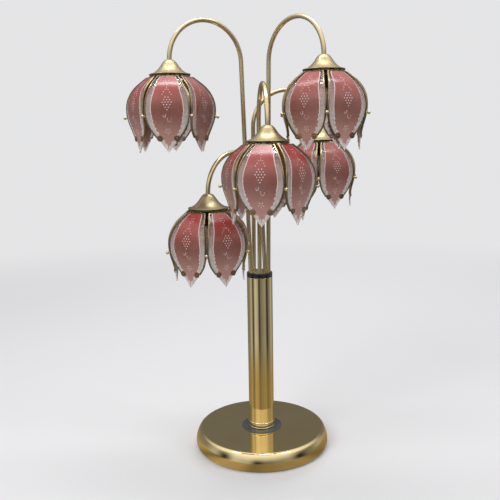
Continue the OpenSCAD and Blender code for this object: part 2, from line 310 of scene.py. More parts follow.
class Finish(Enum):
    """Every finish on the lamp, by the name of its material."""

    POLISHED_BRASS = "polished_brass"
    ARM_BRASS = "arm_brass"
    CAP_BRASS = "cap_brass"
    EDGING_BRASS = "edging_brass"
    BEAD_BRASS = "bead_brass"
    TAB_COPPER = "tab_copper"
    PINK_GLASS = "pink_glass"
    CLEAR_BORDER = "clear_border"
    GROUND_LINE = "ground_line"
    WHITE_DOTS = "white_dots"
    OPAL_GLASS = "opal_glass"
    BLACK_PHENOLIC = "black_phenolic"
    ZINC_STEEL = "zinc_steel"
    WEIGHT_IRON = "weight_iron"
    GREY_LACQUER = "grey_lacquer"
    BLACK_PLASTIC = "black_plastic"
    FELT = "felt"
    LEAD_INSULATION = "lead_insulation"


class Nodes:
    """Adds nodes to one node tree and links them."""

    def __init__(self, tree: bpy.types.NodeTree) -> None:
        """Keeps the tree."""
        self.tree = tree

    def feed(self, node: bpy.types.Node, inputs: dict[str | int, object]) -> None:
        """Sets or links a node's inputs.

        Args:
            node: The node.
            inputs: A value or an output socket for each input, by its name or number.
        """
        for key, value in inputs.items():
            if isinstance(value, bpy.types.NodeSocket):
                self.tree.links.new(value, node.inputs[key])
            else:
                node.inputs[key].default_value = value

    def add(self, kind: str, inputs: dict[str | int, object] | None = None,
            **settings: object) -> bpy.types.Node:
        """Adds a node.

        Args:
            kind: The node's type name.
            inputs: Values or output sockets for its inputs.
            **settings: Values for its own properties.

        Returns:
            The new node.
        """
        node = self.tree.nodes.new(kind)
        for key, value in settings.items():
            setattr(node, key, value)
        self.feed(node, inputs or {})
        return node

    def math(self, operation: str, *values: object) -> bpy.types.NodeSocket:
        """Adds a Math node for up to three values or sockets and returns its output."""
        return self.add("ShaderNodeMath", dict(enumerate(values)), operation=operation).outputs[0]

    def ramp(self, value: object, low: float, high: float) -> bpy.types.NodeSocket:
        """Maps a value smoothly from the range low to high onto 0 to 1."""
        inputs = {"Value": value, "From Min": low, "From Max": high}
        return self.add("ShaderNodeMapRange", inputs, interpolation_type="SMOOTHSTEP").outputs["Result"]

    def noise(self, vector: object, scale: object, detail: float, roughness: float) -> bpy.types.NodeSocket:
        """Adds a noise texture and returns its value."""
        inputs = {"Vector": vector, "Scale": scale, "Detail": detail, "Roughness": roughness}
        return self.add("ShaderNodeTexNoise", inputs).outputs["Fac"]

    def bump(self, height: object, strength: float, distance: float) -> bpy.types.NodeSocket:
        """Adds a Bump node whose distance is in metres and returns its normal."""
        inputs = {"Height": height, "Strength": strength, "Distance": distance}
        return self.add("ShaderNodeBump", inputs).outputs[0]

    def group(self, tree: bpy.types.NodeTree, **inputs: object) -> bpy.types.Node:
        """Places a shared effect; an underscore in an input's name stands for a space."""
        named = {key.replace("_", " "): value for key, value in inputs.items()}
        return self.add("ShaderNodeGroup", named, node_tree=tree)

    def mixed(self, share: object, first: object, second: object) -> bpy.types.NodeSocket:
        """Mixes two colours and returns the result."""
        inputs = {0: share, 6: first, 7: second}
        return self.add("ShaderNodeMix", inputs, data_type="RGBA").outputs[2]


class GroupNodes(Nodes):
    """Adds nodes to a new node group with named inputs and outputs."""

    def __init__(self, name: str, inputs: dict[str, str], outputs: dict[str, str]) -> None:
        """Makes the group.

        Args:
            name: The group's name.
            inputs: The type of each input by its name.
            outputs: The type of each output by its name.
        """
        super().__init__(bpy.data.node_groups.new(name, "ShaderNodeTree"))
        for side, sockets in (("INPUT", inputs), ("OUTPUT", outputs)):
            for socket, kind in sockets.items():
                self.tree.interface.new_socket(name=socket, in_out=side, socket_type=f"NodeSocket{kind}")
        self.source = self.add("NodeGroupInput").outputs
        self.sink = self.add("NodeGroupOutput")

    def closed(self, **outputs: object) -> bpy.types.NodeTree:
        """Links the group's outputs and returns the group."""
        self.feed(self.sink, outputs)
        return self.tree


class Effects:
    """The shader effects that several finishes share, each built once as a node group."""

    def __init__(self) -> None:
        """Builds the groups."""
        self.age_marks = self._age_marks()
        self.turning_lines = self._turning_lines()
        self.tint = self._tint()

    @staticmethod
    def _age_marks() -> bpy.types.NodeTree:
        """Soft blotches and small specks, both as masks from 0 to 1.

        Returns:
            The node group.
        """
        nodes = GroupNodes("age_marks", {"Vector": "Vector", "Blotch Scale": "Float", "Speck Scale": "Float"},
                           {"Blotch": "Float", "Speck": "Float"})
        blotch = nodes.noise(nodes.source["Vector"], nodes.source["Blotch Scale"], 5, 0.6)
        speck = nodes.noise(nodes.source["Vector"], nodes.source["Speck Scale"], 2, 0.5)
        return nodes.closed(Blotch=nodes.ramp(blotch, 0.36, 0.68), Speck=nodes.ramp(speck, 0.62, 0.74))

    @staticmethod
    def _turning_lines() -> bpy.types.NodeTree:
        """Fine lines that run along the first UV axis, as a height from 0 to 1.

        Returns:
            The node group.
        """
        nodes = GroupNodes("turning_lines", {"UV": "Vector", "Lines per mm": "Float", "Streak": "Float"},
                           {"Height": "Float"})
        parts = nodes.add("ShaderNodeSeparateXYZ", {0: nodes.source["UV"]}).outputs
        along = nodes.math("MULTIPLY", parts[0], nodes.source["Streak"])
        across = nodes.math("MULTIPLY", parts[1], nodes.source["Lines per mm"])
        stretched = nodes.add("ShaderNodeCombineXYZ", {0: along, 1: across})
        return nodes.closed(Height=nodes.noise(stretched.outputs[0], 1.0, 3, 0.7))

    @staticmethod
    def _tint() -> bpy.types.NodeTree:
        """Turns a colour towards a second one by a mask times an amount.

        Returns:
            The node group.
        """
        nodes = GroupNodes(
            "tint", {"Colour": "Color", "Towards": "Color", "Mask": "Float", "Amount": "Float"},
            {"Colour": "Color"})
        share = nodes.math("MULTIPLY", nodes.source["Mask"], nodes.source["Amount"])
        return nodes.closed(Colour=nodes.mixed(share, nodes.source["Colour"], nodes.source["Towards"]))

    def age(self, nodes: Nodes, place: object, scales: Pair, colour: object, towards: Rgb,
            amounts: Sequence[float]) -> tuple[bpy.types.NodeSocket, bpy.types.NodeSocket]:
        """Blotches and specks a colour in a material.

        Args:
            nodes: The material's node adder.
            place: The coordinates that the marks follow.
            scales: Scale of the blotches and scale of the specks.
            colour: The colour to age.
            towards: The colour that it turns to.
            amounts: How far it turns in the blotches and, if given, in the specks.

        Returns:
            The aged colour and the mask of the blotches.
        """
        marks = nodes.group(self.age_marks, Vector=place, Blotch_Scale=scales[0], Speck_Scale=scales[1])
        for mask, amount in zip(marks.outputs, amounts):
            tinted = nodes.group(self.tint, Colour=colour, Towards=rgba(towards), Mask=mask, Amount=amount)
            colour = tinted.outputs[0]
        return colour, marks.outputs["Blotch"]


def rgba(colour: Rgb) -> tuple[float, float, float, float]:
    """Adds a full alpha to a colour."""
    return (*colour, 1.0)


def bare_material(name: str) -> tuple[bpy.types.Material, Nodes]:
    """Makes an empty node material.

    Args:
        name: The material's name.

    Returns:
        The material and its node adder.
    """
    material = bpy.data.materials.new(name)
    material.use_nodes = True
    material.node_tree.nodes.clear()
    return material, Nodes(material.node_tree)


def start_material(name: str) -> tuple[bpy.types.Material, Nodes, bpy.types.Node, bpy.types.Node]:
    """Makes a material that has a shader.

    Args:
        name: The material's name.

    Returns:
        The material, its node adder, its shader and its coordinates.
    """
    material, nodes = bare_material(name)
    shader = nodes.add("ShaderNodeBsdfPrincipled")
    nodes.add("ShaderNodeOutputMaterial", {"Surface": shader.outputs[0]})
    return material, nodes, shader, nodes.add("ShaderNodeTexCoord")


@dataclass(frozen=True)
class MetalFinish:
    """A metal with soft tarnish, specks and, if line_depth is given, fine turning lines."""

    colour: Rgb
    tarnish: Rgb
    roughness: float
    spread: float
    tarnish_amount: float
    speck_amount: float
    blotch_scale: float
    specks_per_blotch: float = 14.0
    lines_per_mm: float = 5.0
    streak: float = 0.02
    line_depth: float = 0.0
    line_step: float = 0.0002

    def build(self, name: str, effects: Effects) -> bpy.types.Material:
        """Builds the material.

        Args:
            name: Its name.
            effects: The shared effects.

        Returns:
            The material.
        """
        material, nodes, shader, place = start_material(name)
        scales = (self.blotch_scale, self.blotch_scale * self.specks_per_blotch)
        colour, blotch = effects.age(nodes, place.outputs["Object"], scales, rgba(self.colour), self.tarnish,
                                     (self.tarnish_amount, self.speck_amount))
        rough = nodes.math("MULTIPLY_ADD", blotch, self.spread, self.roughness)
        nodes.feed(shader, {"Base Color": colour, "Roughness": rough, "Metallic": 1.0})
        if self.line_depth:
            lines = nodes.group(effects.turning_lines, UV=place.outputs["UV"],
                                Lines_per_mm=self.lines_per_mm, Streak=self.streak)
            nodes.feed(shader, {"Normal": nodes.bump(lines.outputs[0], self.line_depth, self.line_step)})
        return material


@dataclass(frozen=True)
class PinkGlassFinish:
    """Pink layer on glass: deep near the top, duller and greyer below and paler at the point, with a faint
    mottle; the duller grey below is partly painted reflection.
    """

    top: Rgb = (0.42, 0.045, 0.038)
    # middle and foot: the duller, greyer pink below the deep top is partly the glass's own colour and partly
    # a painted reflection of grey surroundings
    middle: Rgb = (0.245, 0.088, 0.066)
    foot: Rgb = (0.46, 0.25, 0.21)
    pale: Rgb = (0.40, 0.19, 0.16)
    upper_fade: Pair = (10.0, 62.0)
    lower_fade: Pair = (58.0, 108.0)
    mottle_scales: Pair = (45.0, 900.0)
    mottle_amounts: Pair = (0.12, 0.08)
    roughness: float = 0.26
    spread: float = 0.08
    ripple_scale: float = 30.0
    ripple_depth: float = 0.12
    ripple_step: float = 0.002
    specular: float = 0.35
    coat: float = 0.6
    coat_roughness: float = 0.2
    transmission: float = 0.2

    def build(self, name: str, effects: Effects) -> bpy.types.Material:
        """Builds the material; its UV map holds millimetres across and down the petal.

        Args:
            name: Its name.
            effects: The shared effects.

        Returns:
            The material.
        """
        material, nodes, shader, place = start_material(name)
        down = nodes.add("ShaderNodeSeparateXYZ", {0: place.outputs["UV"]}).outputs[1]
        upper = nodes.mixed(nodes.ramp(down, *self.upper_fade), rgba(self.top), rgba(self.middle))
        colour = nodes.mixed(nodes.ramp(down, *self.lower_fade), upper, rgba(self.foot))
        colour, blotch = effects.age(nodes, place.outputs["Object"], self.mottle_scales, colour, self.pale,
                                     self.mottle_amounts)
        ripples = nodes.noise(place.outputs["Object"], self.ripple_scale, 2, 0.4)
        nodes.feed(shader, {
            "Base Color": colour,
            "Roughness": nodes.math("MULTIPLY_ADD", blotch, self.spread, self.roughness),
            "Normal": nodes.bump(ripples, self.ripple_depth, self.ripple_step),
            "Specular IOR Level": self.specular, "Coat Weight": self.coat,
            "Coat Roughness": self.coat_roughness, "Transmission Weight": self.transmission})
        return material


@dataclass(frozen=True)
class FrostedFinish:
    """Glass border: clear beside the lampholder, then milky, and white towards the petal's point."""

    top: Rgb = (0.60, 0.43, 0.39)
    low: Rgb = (0.90, 0.85, 0.80)
    fade: Pair = (30.0, 96.0)
    roughness: float = 0.07
    extra_roughness: float = 0.33
    mottle_scales: Pair = (60.0, 900.0)
    spread: float = 0.04
    clearing: Pair = (14.0, 42.0)
    least_alpha: float = 0.32
    transmission: float = 0.6
    ior: float = 1.5

    def build(self, name: str, effects: Effects) -> bpy.types.Material:
        """Builds the material; its UV map holds millimetres across and down the petal.

        Args:
            name: Its name.
            effects: The shared effects.

        Returns:
            The material.
        """
        material, nodes, shader, place = start_material(name)
        down = nodes.add("ShaderNodeSeparateXYZ", {0: place.outputs["UV"]}).outputs[1]
        fade = nodes.ramp(down, *self.fade)
        colour, blotch = effects.age(nodes, place.outputs["Object"], self.mottle_scales,
                                     nodes.mixed(fade, rgba(self.top), rgba(self.low)), self.low, ())
        frost = nodes.math("MULTIPLY_ADD", fade, self.extra_roughness, self.roughness)
        milk = nodes.ramp(down, *self.clearing)
        nodes.feed(shader, {
            "Base Color": colour,
            "Roughness": nodes.math("MULTIPLY_ADD", blotch, self.spread, frost),
            "Alpha": nodes.math("MULTIPLY_ADD", milk, 1 - self.least_alpha, self.least_alpha),
            "Transmission Weight": self.transmission, "IOR": self.ior})
        return material


@dataclass(frozen=True)
class PlainFinish:
    """A solid, non metallic finish with its own grain: moulded, painted, cast or felted."""

    colour: Rgb
    towards: Rgb
    roughness: float
    spread: float
    grain_scale: float
    grain_depth: float
    amount: float = 0.5
    sheen: float = 0.0
    coat: float = 0.0
    grains_per_blotch: float = 10.0
    grain_step: float = 0.0004

    def build(self, name: str, effects: Effects) -> bpy.types.Material:
        """Builds the material.

        Args:
            name: Its name.
            effects: The shared effects.

        Returns:
            The material.
        """
        material, nodes, shader, place = start_material(name)
        scales = (self.grain_scale / self.grains_per_blotch, self.grain_scale)
        colour, blotch = effects.age(nodes, place.outputs["Object"], scales, rgba(self.colour), self.towards,
                                     (self.amount,))
        grain = nodes.noise(place.outputs["Object"], self.grain_scale, 4, 0.6)
        nodes.feed(shader, {
            "Base Color": colour,
            "Roughness": nodes.math("MULTIPLY_ADD", blotch, self.spread, self.roughness),
            "Normal": nodes.bump(grain, self.grain_depth, self.grain_step),
            "Sheen Weight": self.sheen, "Coat Weight": self.coat})
        return material


FINISHES = {
    Finish.POLISHED_BRASS: MetalFinish(
        (0.86, 0.71, 0.39), (0.72, 0.56, 0.28), roughness=0.035, spread=0.05, tarnish_amount=0.35,
        speck_amount=0.08, blotch_scale=14.0),
    Finish.ARM_BRASS: MetalFinish(
        (0.74, 0.62, 0.38), (0.55, 0.43, 0.23), roughness=0.22, spread=0.06, tarnish_amount=0.4,
        speck_amount=0.03, blotch_scale=14.0),
    Finish.CAP_BRASS: MetalFinish(
        (0.47, 0.395, 0.24), (0.31, 0.245, 0.13), roughness=0.33, spread=0.10, tarnish_amount=0.6,
        speck_amount=0.1, blotch_scale=24.0, line_depth=0.12),
    Finish.EDGING_BRASS: MetalFinish(
        (0.38, 0.30, 0.175), (0.16, 0.12, 0.06), roughness=0.24, spread=0.14, tarnish_amount=0.7,
        speck_amount=0.2, blotch_scale=60.0),
    Finish.BEAD_BRASS: MetalFinish(
        (0.86, 0.73, 0.45), (0.55, 0.40, 0.18), roughness=0.10, spread=0.08, tarnish_amount=0.3,
        speck_amount=0.1, blotch_scale=90.0),
    Finish.TAB_COPPER: MetalFinish(
        (0.44, 0.30, 0.17), (0.18, 0.12, 0.07), roughness=0.30, spread=0.12, tarnish_amount=0.7,
        speck_amount=0.2, blotch_scale=160.0),
    Finish.PINK_GLASS: PinkGlassFinish(),
    Finish.CLEAR_BORDER: FrostedFinish(),
    Finish.GROUND_LINE: PlainFinish(
        (0.68, 0.56, 0.53), (0.60, 0.46, 0.43), roughness=0.3, spread=0.1, grain_scale=500.0,
        grain_depth=0.1),
    Finish.WHITE_DOTS: PlainFinish(
        (0.72, 0.59, 0.56), (0.62, 0.46, 0.43), roughness=0.35, spread=0.1, grain_scale=800.0,
        grain_depth=0.1),
    Finish.OPAL_GLASS: PlainFinish(
        (0.95, 0.93, 0.87), (0.90, 0.87, 0.80), roughness=0.22, spread=0.05, grain_scale=200.0,
        grain_depth=0.03, coat=0.3),
    Finish.BLACK_PHENOLIC: PlainFinish(
        (0.012, 0.011, 0.010), (0.025, 0.022, 0.02), roughness=0.14, spread=0.08, grain_scale=500.0,
        grain_depth=0.05),
    Finish.ZINC_STEEL: MetalFinish(
        (0.62, 0.62, 0.64), (0.45, 0.44, 0.42), roughness=0.32, spread=0.12, tarnish_amount=0.5,
        speck_amount=0.2, blotch_scale=60.0),
    Finish.WEIGHT_IRON: PlainFinish(
        (0.06, 0.06, 0.065), (0.10, 0.09, 0.085), roughness=0.6, spread=0.2, grain_scale=260.0,
        grain_depth=0.6),
    Finish.GREY_LACQUER: PlainFinish(
        (0.055, 0.063, 0.070), (0.08, 0.088, 0.098), roughness=0.2, spread=0.06, grain_scale=300.0,
        grain_depth=0.02, coat=0.3),
    Finish.BLACK_PLASTIC: PlainFinish(
        (0.02, 0.02, 0.02), (0.035, 0.035, 0.035), roughness=0.5, spread=0.1, grain_scale=700.0,
        grain_depth=0.2),
    Finish.FELT: PlainFinish(
        (0.035, 0.085, 0.05), (0.06, 0.12, 0.075), roughness=0.95, spread=0.05, grain_scale=1500.0,
        grain_depth=0.8, amount=0.7, sheen=0.5),
    Finish.LEAD_INSULATION: PlainFinish(
        (0.80, 0.78, 0.72), (0.70, 0.68, 0.60), roughness=0.4, spread=0.1, grain_scale=500.0,
        grain_depth=0.1),
}


class Palette:
    """Builds each finish's material once and hands it out."""

    def __init__(self) -> None:
        """Builds the shared effects."""
        self.effects = Effects()
        self.made: dict[Finish, bpy.types.Material] = {}

    def __getitem__(self, finish: Finish) -> bpy.types.Material:
        """Builds a finish's material the first time that it is asked for.

        Args:
            finish: The finish.

        Returns:
            Its material.
        """
        if finish not in self.made:
            self.made[finish] = FINISHES[finish].build(finish.value, self.effects)
        return self.made[finish]

    def many(self, *finishes: Finish) -> list[bpy.types.Material]:
        """Returns the materials for several finishes."""
        return [self[finish] for finish in finishes]


# ---------------------------------------------------------------- stand


def node_box(node: str) -> tuple[Vector, Vector]:
    """Lowest and highest corner of a construction node, in millimetres."""
    low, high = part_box(node)
    return low / MM, high / MM


@dataclass
class Stand:
    """Base, washer, foot beads, column, collar and what is under and inside them."""

    palette: Palette
    stems: dict[str, Vector]
    body: str = "stand"
    turn_steps: int = 192
    base_edge_r: float = 8.0
    base_side_r: float = 40.0
    base_widest_z: float = 9.0
    base_under_r: float = 9.5
    base_wall: float = 1.5
    well_r: float = 20.5
    column_wall: float = 1.5
    foot_wall: float = 0.8
    foot_bead_r: float = 1.4
    foot_gap: float = 0.05
    bead_sink: float = 0.1
    washer_edge_r: float = 0.45
    tube_edge: float = 0.3
    collar_edge_r: float = 2.5
    collar_chamfer: float = 0.4
    collar_disc_r: float = 21.0
    collar_disc_t: float = 0.9
    plug_gap: float = 0.1
    even: float = 1.0
    stem_hole_r: float = 4.0
    felt_hole_r: float = 4.4
    bush_bore_r: float = 3.2
    bush_neck_r: float = 4.9
    screw_ring_r: float = 85.0
    screw_angles: tuple[float, ...] = (60.0, 180.0, 300.0)
    hidden_nodes: dict[Finish, tuple[str, ...]] = field(default_factory=lambda: {
        Finish.ZINC_STEEL: ("base_cover", "cover_screws", "clamp_plate", "stem_nuts", "tie_rod", "tie_nut"),
        Finish.WEIGHT_IRON: ("base_weight",),
        Finish.BLACK_PLASTIC: ("touch_module",)})

    def build(self, nodes: dict[str, bpy.types.Object]) -> None:
        """Builds every piece of the stand.

        Args:
            nodes: The construction model's nodes by name.
        """
        self.make_base()
        self.make_washer()
        self.make_foot_beads()
        self.make_column()
        self.make_collar()
        self.make_felt()
        self.make_bush()
        for finish, names in self.hidden_nodes.items():
            for name in names:
                dress_node(nodes[name], self.palette[finish])

    def _spun(self, name: str, section: Sequence[Pair], finish: Finish, replaces: str,
              matrix: Matrix = Matrix.Identity(4)) -> None:
        """Spins a section into a piece of the stand that replaces a node.

        Args:
            name: The piece's name.
            section: Points of radius and height, in order round the section.
            finish: Its finish, which has the name of its material slot.
            replaces: The construction node that it stands for.
            matrix: Where the spun shape goes.
        """
        work = Workpiece()
        work.spin(section, self.turn_steps, matrix)
        work.deliver(name, self.body, self.palette.many(finish), (replaces,))

    def make_base(self) -> None:
        """The spun base: a flat top, a rolled edge, a bulging side and a lower edge that tucks under."""
        low, high = node_box("base_shell")
        radius, top, widest = high.x, high.z, self.base_widest_z
        edge, side, under = self.base_edge_r, self.base_side_r, self.base_under_r
        roll = math.asin((top - edge - widest) / (side - edge))
        upper = (radius - side + (side - edge) * math.cos(roll), top - edge)

        def face(inset: float) -> list[Pair]:
            """The outer line of the section, moved in.

            Args:
                inset: How far it moves in.

            Returns:
                The line's points from the well to the lower edge.
            """
            places = (self.well_r, self.well_r + self.even, upper[0] - self.even)
            flat = [(place, top - inset) for place in places]
            rolled = arc(upper, edge - inset, 90, math.degrees(roll), 14)
            bulged = arc((radius - side, widest), side - inset, math.degrees(roll), 0, 24)
            sweep = -math.degrees(math.asin((widest - low.z) / (under - inset)))
            tucked = arc((radius - under, widest), under - inset, 0, sweep, 10)
            return flat + rolled + bulged[1:] + tucked[1:]

        section = face(0) + face(self.base_wall)[::-1]
        self._spun("base_spun_shell", section, Finish.POLISHED_BRASS, "base_shell")

    def make_washer(self) -> None:
        """The thin grey disc between base and column, with a softened edge."""
        low, high = node_box("seat_washer")
        edge = self.washer_edge_r
        rounded = arc((high.x - edge, high.z - edge), edge, 0, 90, 4)
        section = [(self.well_r, low.z), (high.x, low.z)] + rounded + [(self.well_r, high.z)]
        self._spun("seat_washer_disc", section, Finish.GREY_LACQUER, "seat_washer")

    def make_foot_beads(self) -> None:
        """The ring round the foot of the column with a bead at its bottom and one at its top."""
        low, high = node_box("foot_ring")
        inner, bead = node_box("column_tube")[1].x + self.foot_gap, self.foot_bead_r
        centre = inner + self.bead_sink
        meet = math.degrees(math.acos((inner + self.foot_wall - centre) / bead))
        lower = arc((centre, low.z + bead), bead, -90, meet, 12)
        upper = arc((centre, high.z - bead), bead, -meet, 90, 12)
        section = [(inner, low.z)] + lower + upper + [(inner, high.z)]
        self._spun("foot_beads", section, Finish.POLISHED_BRASS, "foot_ring")

    def make_column(self) -> None:
        """The polished column tube."""
        low, high = node_box("column_tube")
        inner, edge, even = high.x - self.column_wall, self.tube_edge, self.even
        section = [(inner, low.z), (high.x, low.z), (high.x, low.z + even), (high.x, high.z - even),
                   (high.x, high.z - edge), (high.x - edge, high.z), (inner, high.z)]
        self._spun("column_polished_tube", section, Finish.POLISHED_BRASS, "column_tube")

    def make_collar(self) -> None:
        """The moulded collar with the stems' holes covered by the stems, and its brass centre disc."""
        low, high = node_box("collar")
        column = node_box("column_tube")[1]
        plug_r = column.x - self.column_wall - self.plug_gap
        edge, chamfer = self.collar_edge_r, self.collar_chamfer
        rolled = arc((high.x - edge, high.z - edge), edge, 0, 90, 10)
        section = [(0, low.z), (plug_r, low.z), (plug_r, column.z), (high.x - chamfer, column.z),
                   (high.x, column.z + chamfer)] + rolled + [(0, high.z)]
        self._spun("collar_moulding", section, Finish.BLACK_PHENOLIC, "collar")
        work = Workpiece()
        holes = [(self.stem_hole_r, Vector((stem.x, stem.y, 0))) for stem in self.stems.values()]
        work.pierced_disc(self.collar_disc_r, holes, high.z, high.z + self.collar_disc_t)
        work.deliver("collar_top_disc", self.body, self.palette.many(Finish.ARM_BRASS))

    def make_felt(self) -> None:
        """The felt pad with a hole for each cover screw."""
        low, high = node_box("felt_pad")
        angles = [math.radians(degrees) for degrees in self.screw_angles]
        places = [Vector((math.cos(a), math.sin(a), 0)) * self.screw_ring_r for a in angles]
        work = Workpiece()
        work.pierced_disc(high.x, [(self.felt_hole_r, place) for place in places], low.z, high.z)
        pad = work.deliver("felt_pad_disc", self.body, self.palette.many(Finish.FELT), ("felt_pad",))

    def make_bush(self) -> None:
        """The moulded bush in the back of the base, where a supply cord would come in."""
        low, high = node_box("cord_gland")
        flange_r, wall_y = (high.x - low.x) / 2, node_box("base_shell")[1].y
        bore_r, neck_r, reach = self.bush_bore_r, self.bush_neck_r, high.y - wall_y
        section = [(bore_r, -5), (flange_r - 1, -5), (flange_r - 1, -2.4), (neck_r, -2.4), (neck_r, 0.3),
                   (flange_r, 0.3)]
        section += bezier([(flange_r, 0.9), (flange_r, 2.2), (6.4, 3.2), (4.2, reach)], 8)
        section.append((bore_r, reach - 0.4))
        outward = Matrix.Rotation(-math.pi / 2, 4, "X")
        matrix = Matrix.Translation((0, wall_y, (low.z + high.z) / 2)) @ outward
        self._spun("cord_inlet_bush", section, Finish.BLACK_PLASTIC, "cord_gland", matrix)


def dress_node(node: bpy.types.Object, material: bpy.types.Material) -> None:
    """Gives a construction node that stays its own material."""
    node.data.materials.clear()
    node.data.materials.append(material)


# ---------------------------------------------------------------- petals


@dataclass(frozen=True)
class PetalShape:
    """The bent sheet that every petal is cut from, and the outline that it is cut to.

    A point on a petal is given by its offset across from the middle line, its drop below
    the cap's rim, and its depth under the outer face.
    """

    belly_r: float = 67.5
    belly_drop: float = 54.0
    shoulder_angle: float = 50.0
    shoulder_r: float = 52.0
    flank_r: float = 95.0
    flank_angle: float = 17.0
    lip_r: float = 100.0
    crown: float = 1.6
    half_w: float = 34.4
    top_drop: float = 4.6
    widest_drop: float = 59.0
    upper_side_r: float = 90.2
    lower_side_r: float = 62.0
    lower_side_angle: float = 32.2
    point_half_angle: float = 37.3
    point_drop: float = 125.5

    def section(self, drop: float) -> tuple[Vector, Vector]:
        """The sheet's outer face at a drop.

        Args:
            drop: The drop below the cap's rim.

        Returns:
            The point as radius and height, and the outward normal there.
        """
        tilt = math.radians(self.shoulder_angle)
        flank = math.radians(self.flank_angle)
        shoulder = Vector((self.belly_r - self.shoulder_r, -self.belly_drop))
        belly = Vector((self.belly_r - self.flank_r, -self.belly_drop))
        lip = belly + (self.flank_r + self.lip_r) * Vector((math.cos(flank), -math.sin(flank)))
        shoulder_end = self.belly_drop - self.shoulder_r * math.sin(tilt)
        flank_end = self.belly_drop + self.flank_r * math.sin(flank)
        if drop < shoulder_end:
            normal = Vector((math.cos(tilt), math.sin(tilt)))
            rise = (shoulder_end - drop) / math.cos(tilt)
            return shoulder + self.shoulder_r * normal + rise * Vector((-normal.y, normal.x)), normal
        if drop < self.belly_drop:
            angle = math.asin((self.belly_drop - drop) / self.shoulder_r)
            normal = Vector((math.cos(angle), math.sin(angle)))
            return shoulder + self.shoulder_r * normal, normal
        if drop < flank_end:
            angle = math.asin((drop - self.belly_drop) / self.flank_r)
            normal = Vector((math.cos(angle), -math.sin(angle)))
            return belly + self.flank_r * normal, normal
        angle = math.asin((-lip.y - drop) / self.lip_r)
        normal = Vector((math.cos(angle), -math.sin(angle)))
        return lip - self.lip_r * normal, normal

    def on_sheet(self, across: float, drop: float, depth: float) -> Vector:
        """The place of a point of the petal.

        Args:
            across: The offset across.
            drop: The drop.
            depth: The depth under the outer face.

        Returns:
            The place, with X outwards and Z up from the rim's centre.
        """
        point, normal = self.section(drop)
        sunk = depth + self.crown * (across / self.half_w) ** 2
        place = point - normal * sunk
        return Vector((place.x, across, place.y))

    def matrix_on(self, across: float, drop: float, depth: float) -> Matrix:
        """A frame on the petal whose Z is the outward normal and whose X runs across.

        Args:
            across: The offset across.
            drop: The drop.
            depth: The depth under the outer face.

        Returns:
            The frame's matrix.
        """
        normal = self.section(drop)[1]
        out = Vector((normal.x, 0, normal.y))
        side = Vector((0, 1, 0))
        turned = Matrix((side, out.cross(side), out)).transposed().to_4x4()
        return Matrix.Translation(self.on_sheet(across, drop, depth)) @ turned

    def side_point(self, grow: float, part: int, share: float, top: float) -> Pair:
        """A point of the right half of the outline, grown sideways.

        Args:
            grow: How far outside the glass's edge the point is; less than 0 is inside.
            part: 0 for the upper arc, 1 for the lower arc, 2 for the straight side of the point.
            share: How far along that part, from 0 at its top to 1 at its end.
            top: The drop at which the outline starts.

        Returns:
            Its offset across and its drop.
        """
        if part == 0:
            radius, middle = self.upper_side_r + grow, self.half_w - self.upper_side_r
            angle = math.asin((self.widest_drop - top) / radius) * (1 - share)
            return middle + radius * math.cos(angle), self.widest_drop - radius * math.sin(angle)
        radius, middle = self.lower_side_r + grow, self.half_w - self.lower_side_r
        angle = math.radians(self.lower_side_angle) * (share if part == 1 else 1)
        end = (middle + radius * math.cos(angle), self.widest_drop + radius * math.sin(angle))
        if part == 1:
            return end
        point = self.point_drop + grow / math.sin(math.radians(self.point_half_angle))
        return end[0] * (1 - share), end[1] + (point - end[1]) * share


@dataclass(frozen=True)
class Scallops:
    """The chipped inner edge of a petal's clear border: bites that grow towards the point."""

    pitch: float = 6.5
    bite: float = 2.1
    start_drop: float = 56.0
    full_drop: float = 84.0

    def along(self, points: Sequence[Pair], rng: random.Random) -> list[float]:
        """How far each point of a side moves in.

        Args:
            points: The side from its top to the petal's point.
            rng: The petal's own random numbers.

        Returns:
            One distance for each point.
        """
        moves, walked, phase = [], 0.0, rng.random()
        sizes = [0.65 + 0.7 * rng.random() for _ in range(40)]
        previous = points[0]
        for point in points:
            walked += math.dist(previous, point)
            previous = point
            turns = walked / self.pitch + phase
            size = sizes[int(turns) % len(sizes)]
            grown = smooth_step(self.start_drop, self.full_drop, point[1])
            moves.append(self.bite * grown * size * abs(math.sin(math.pi * turns)))
        moves[-1] = 0.0
        return moves


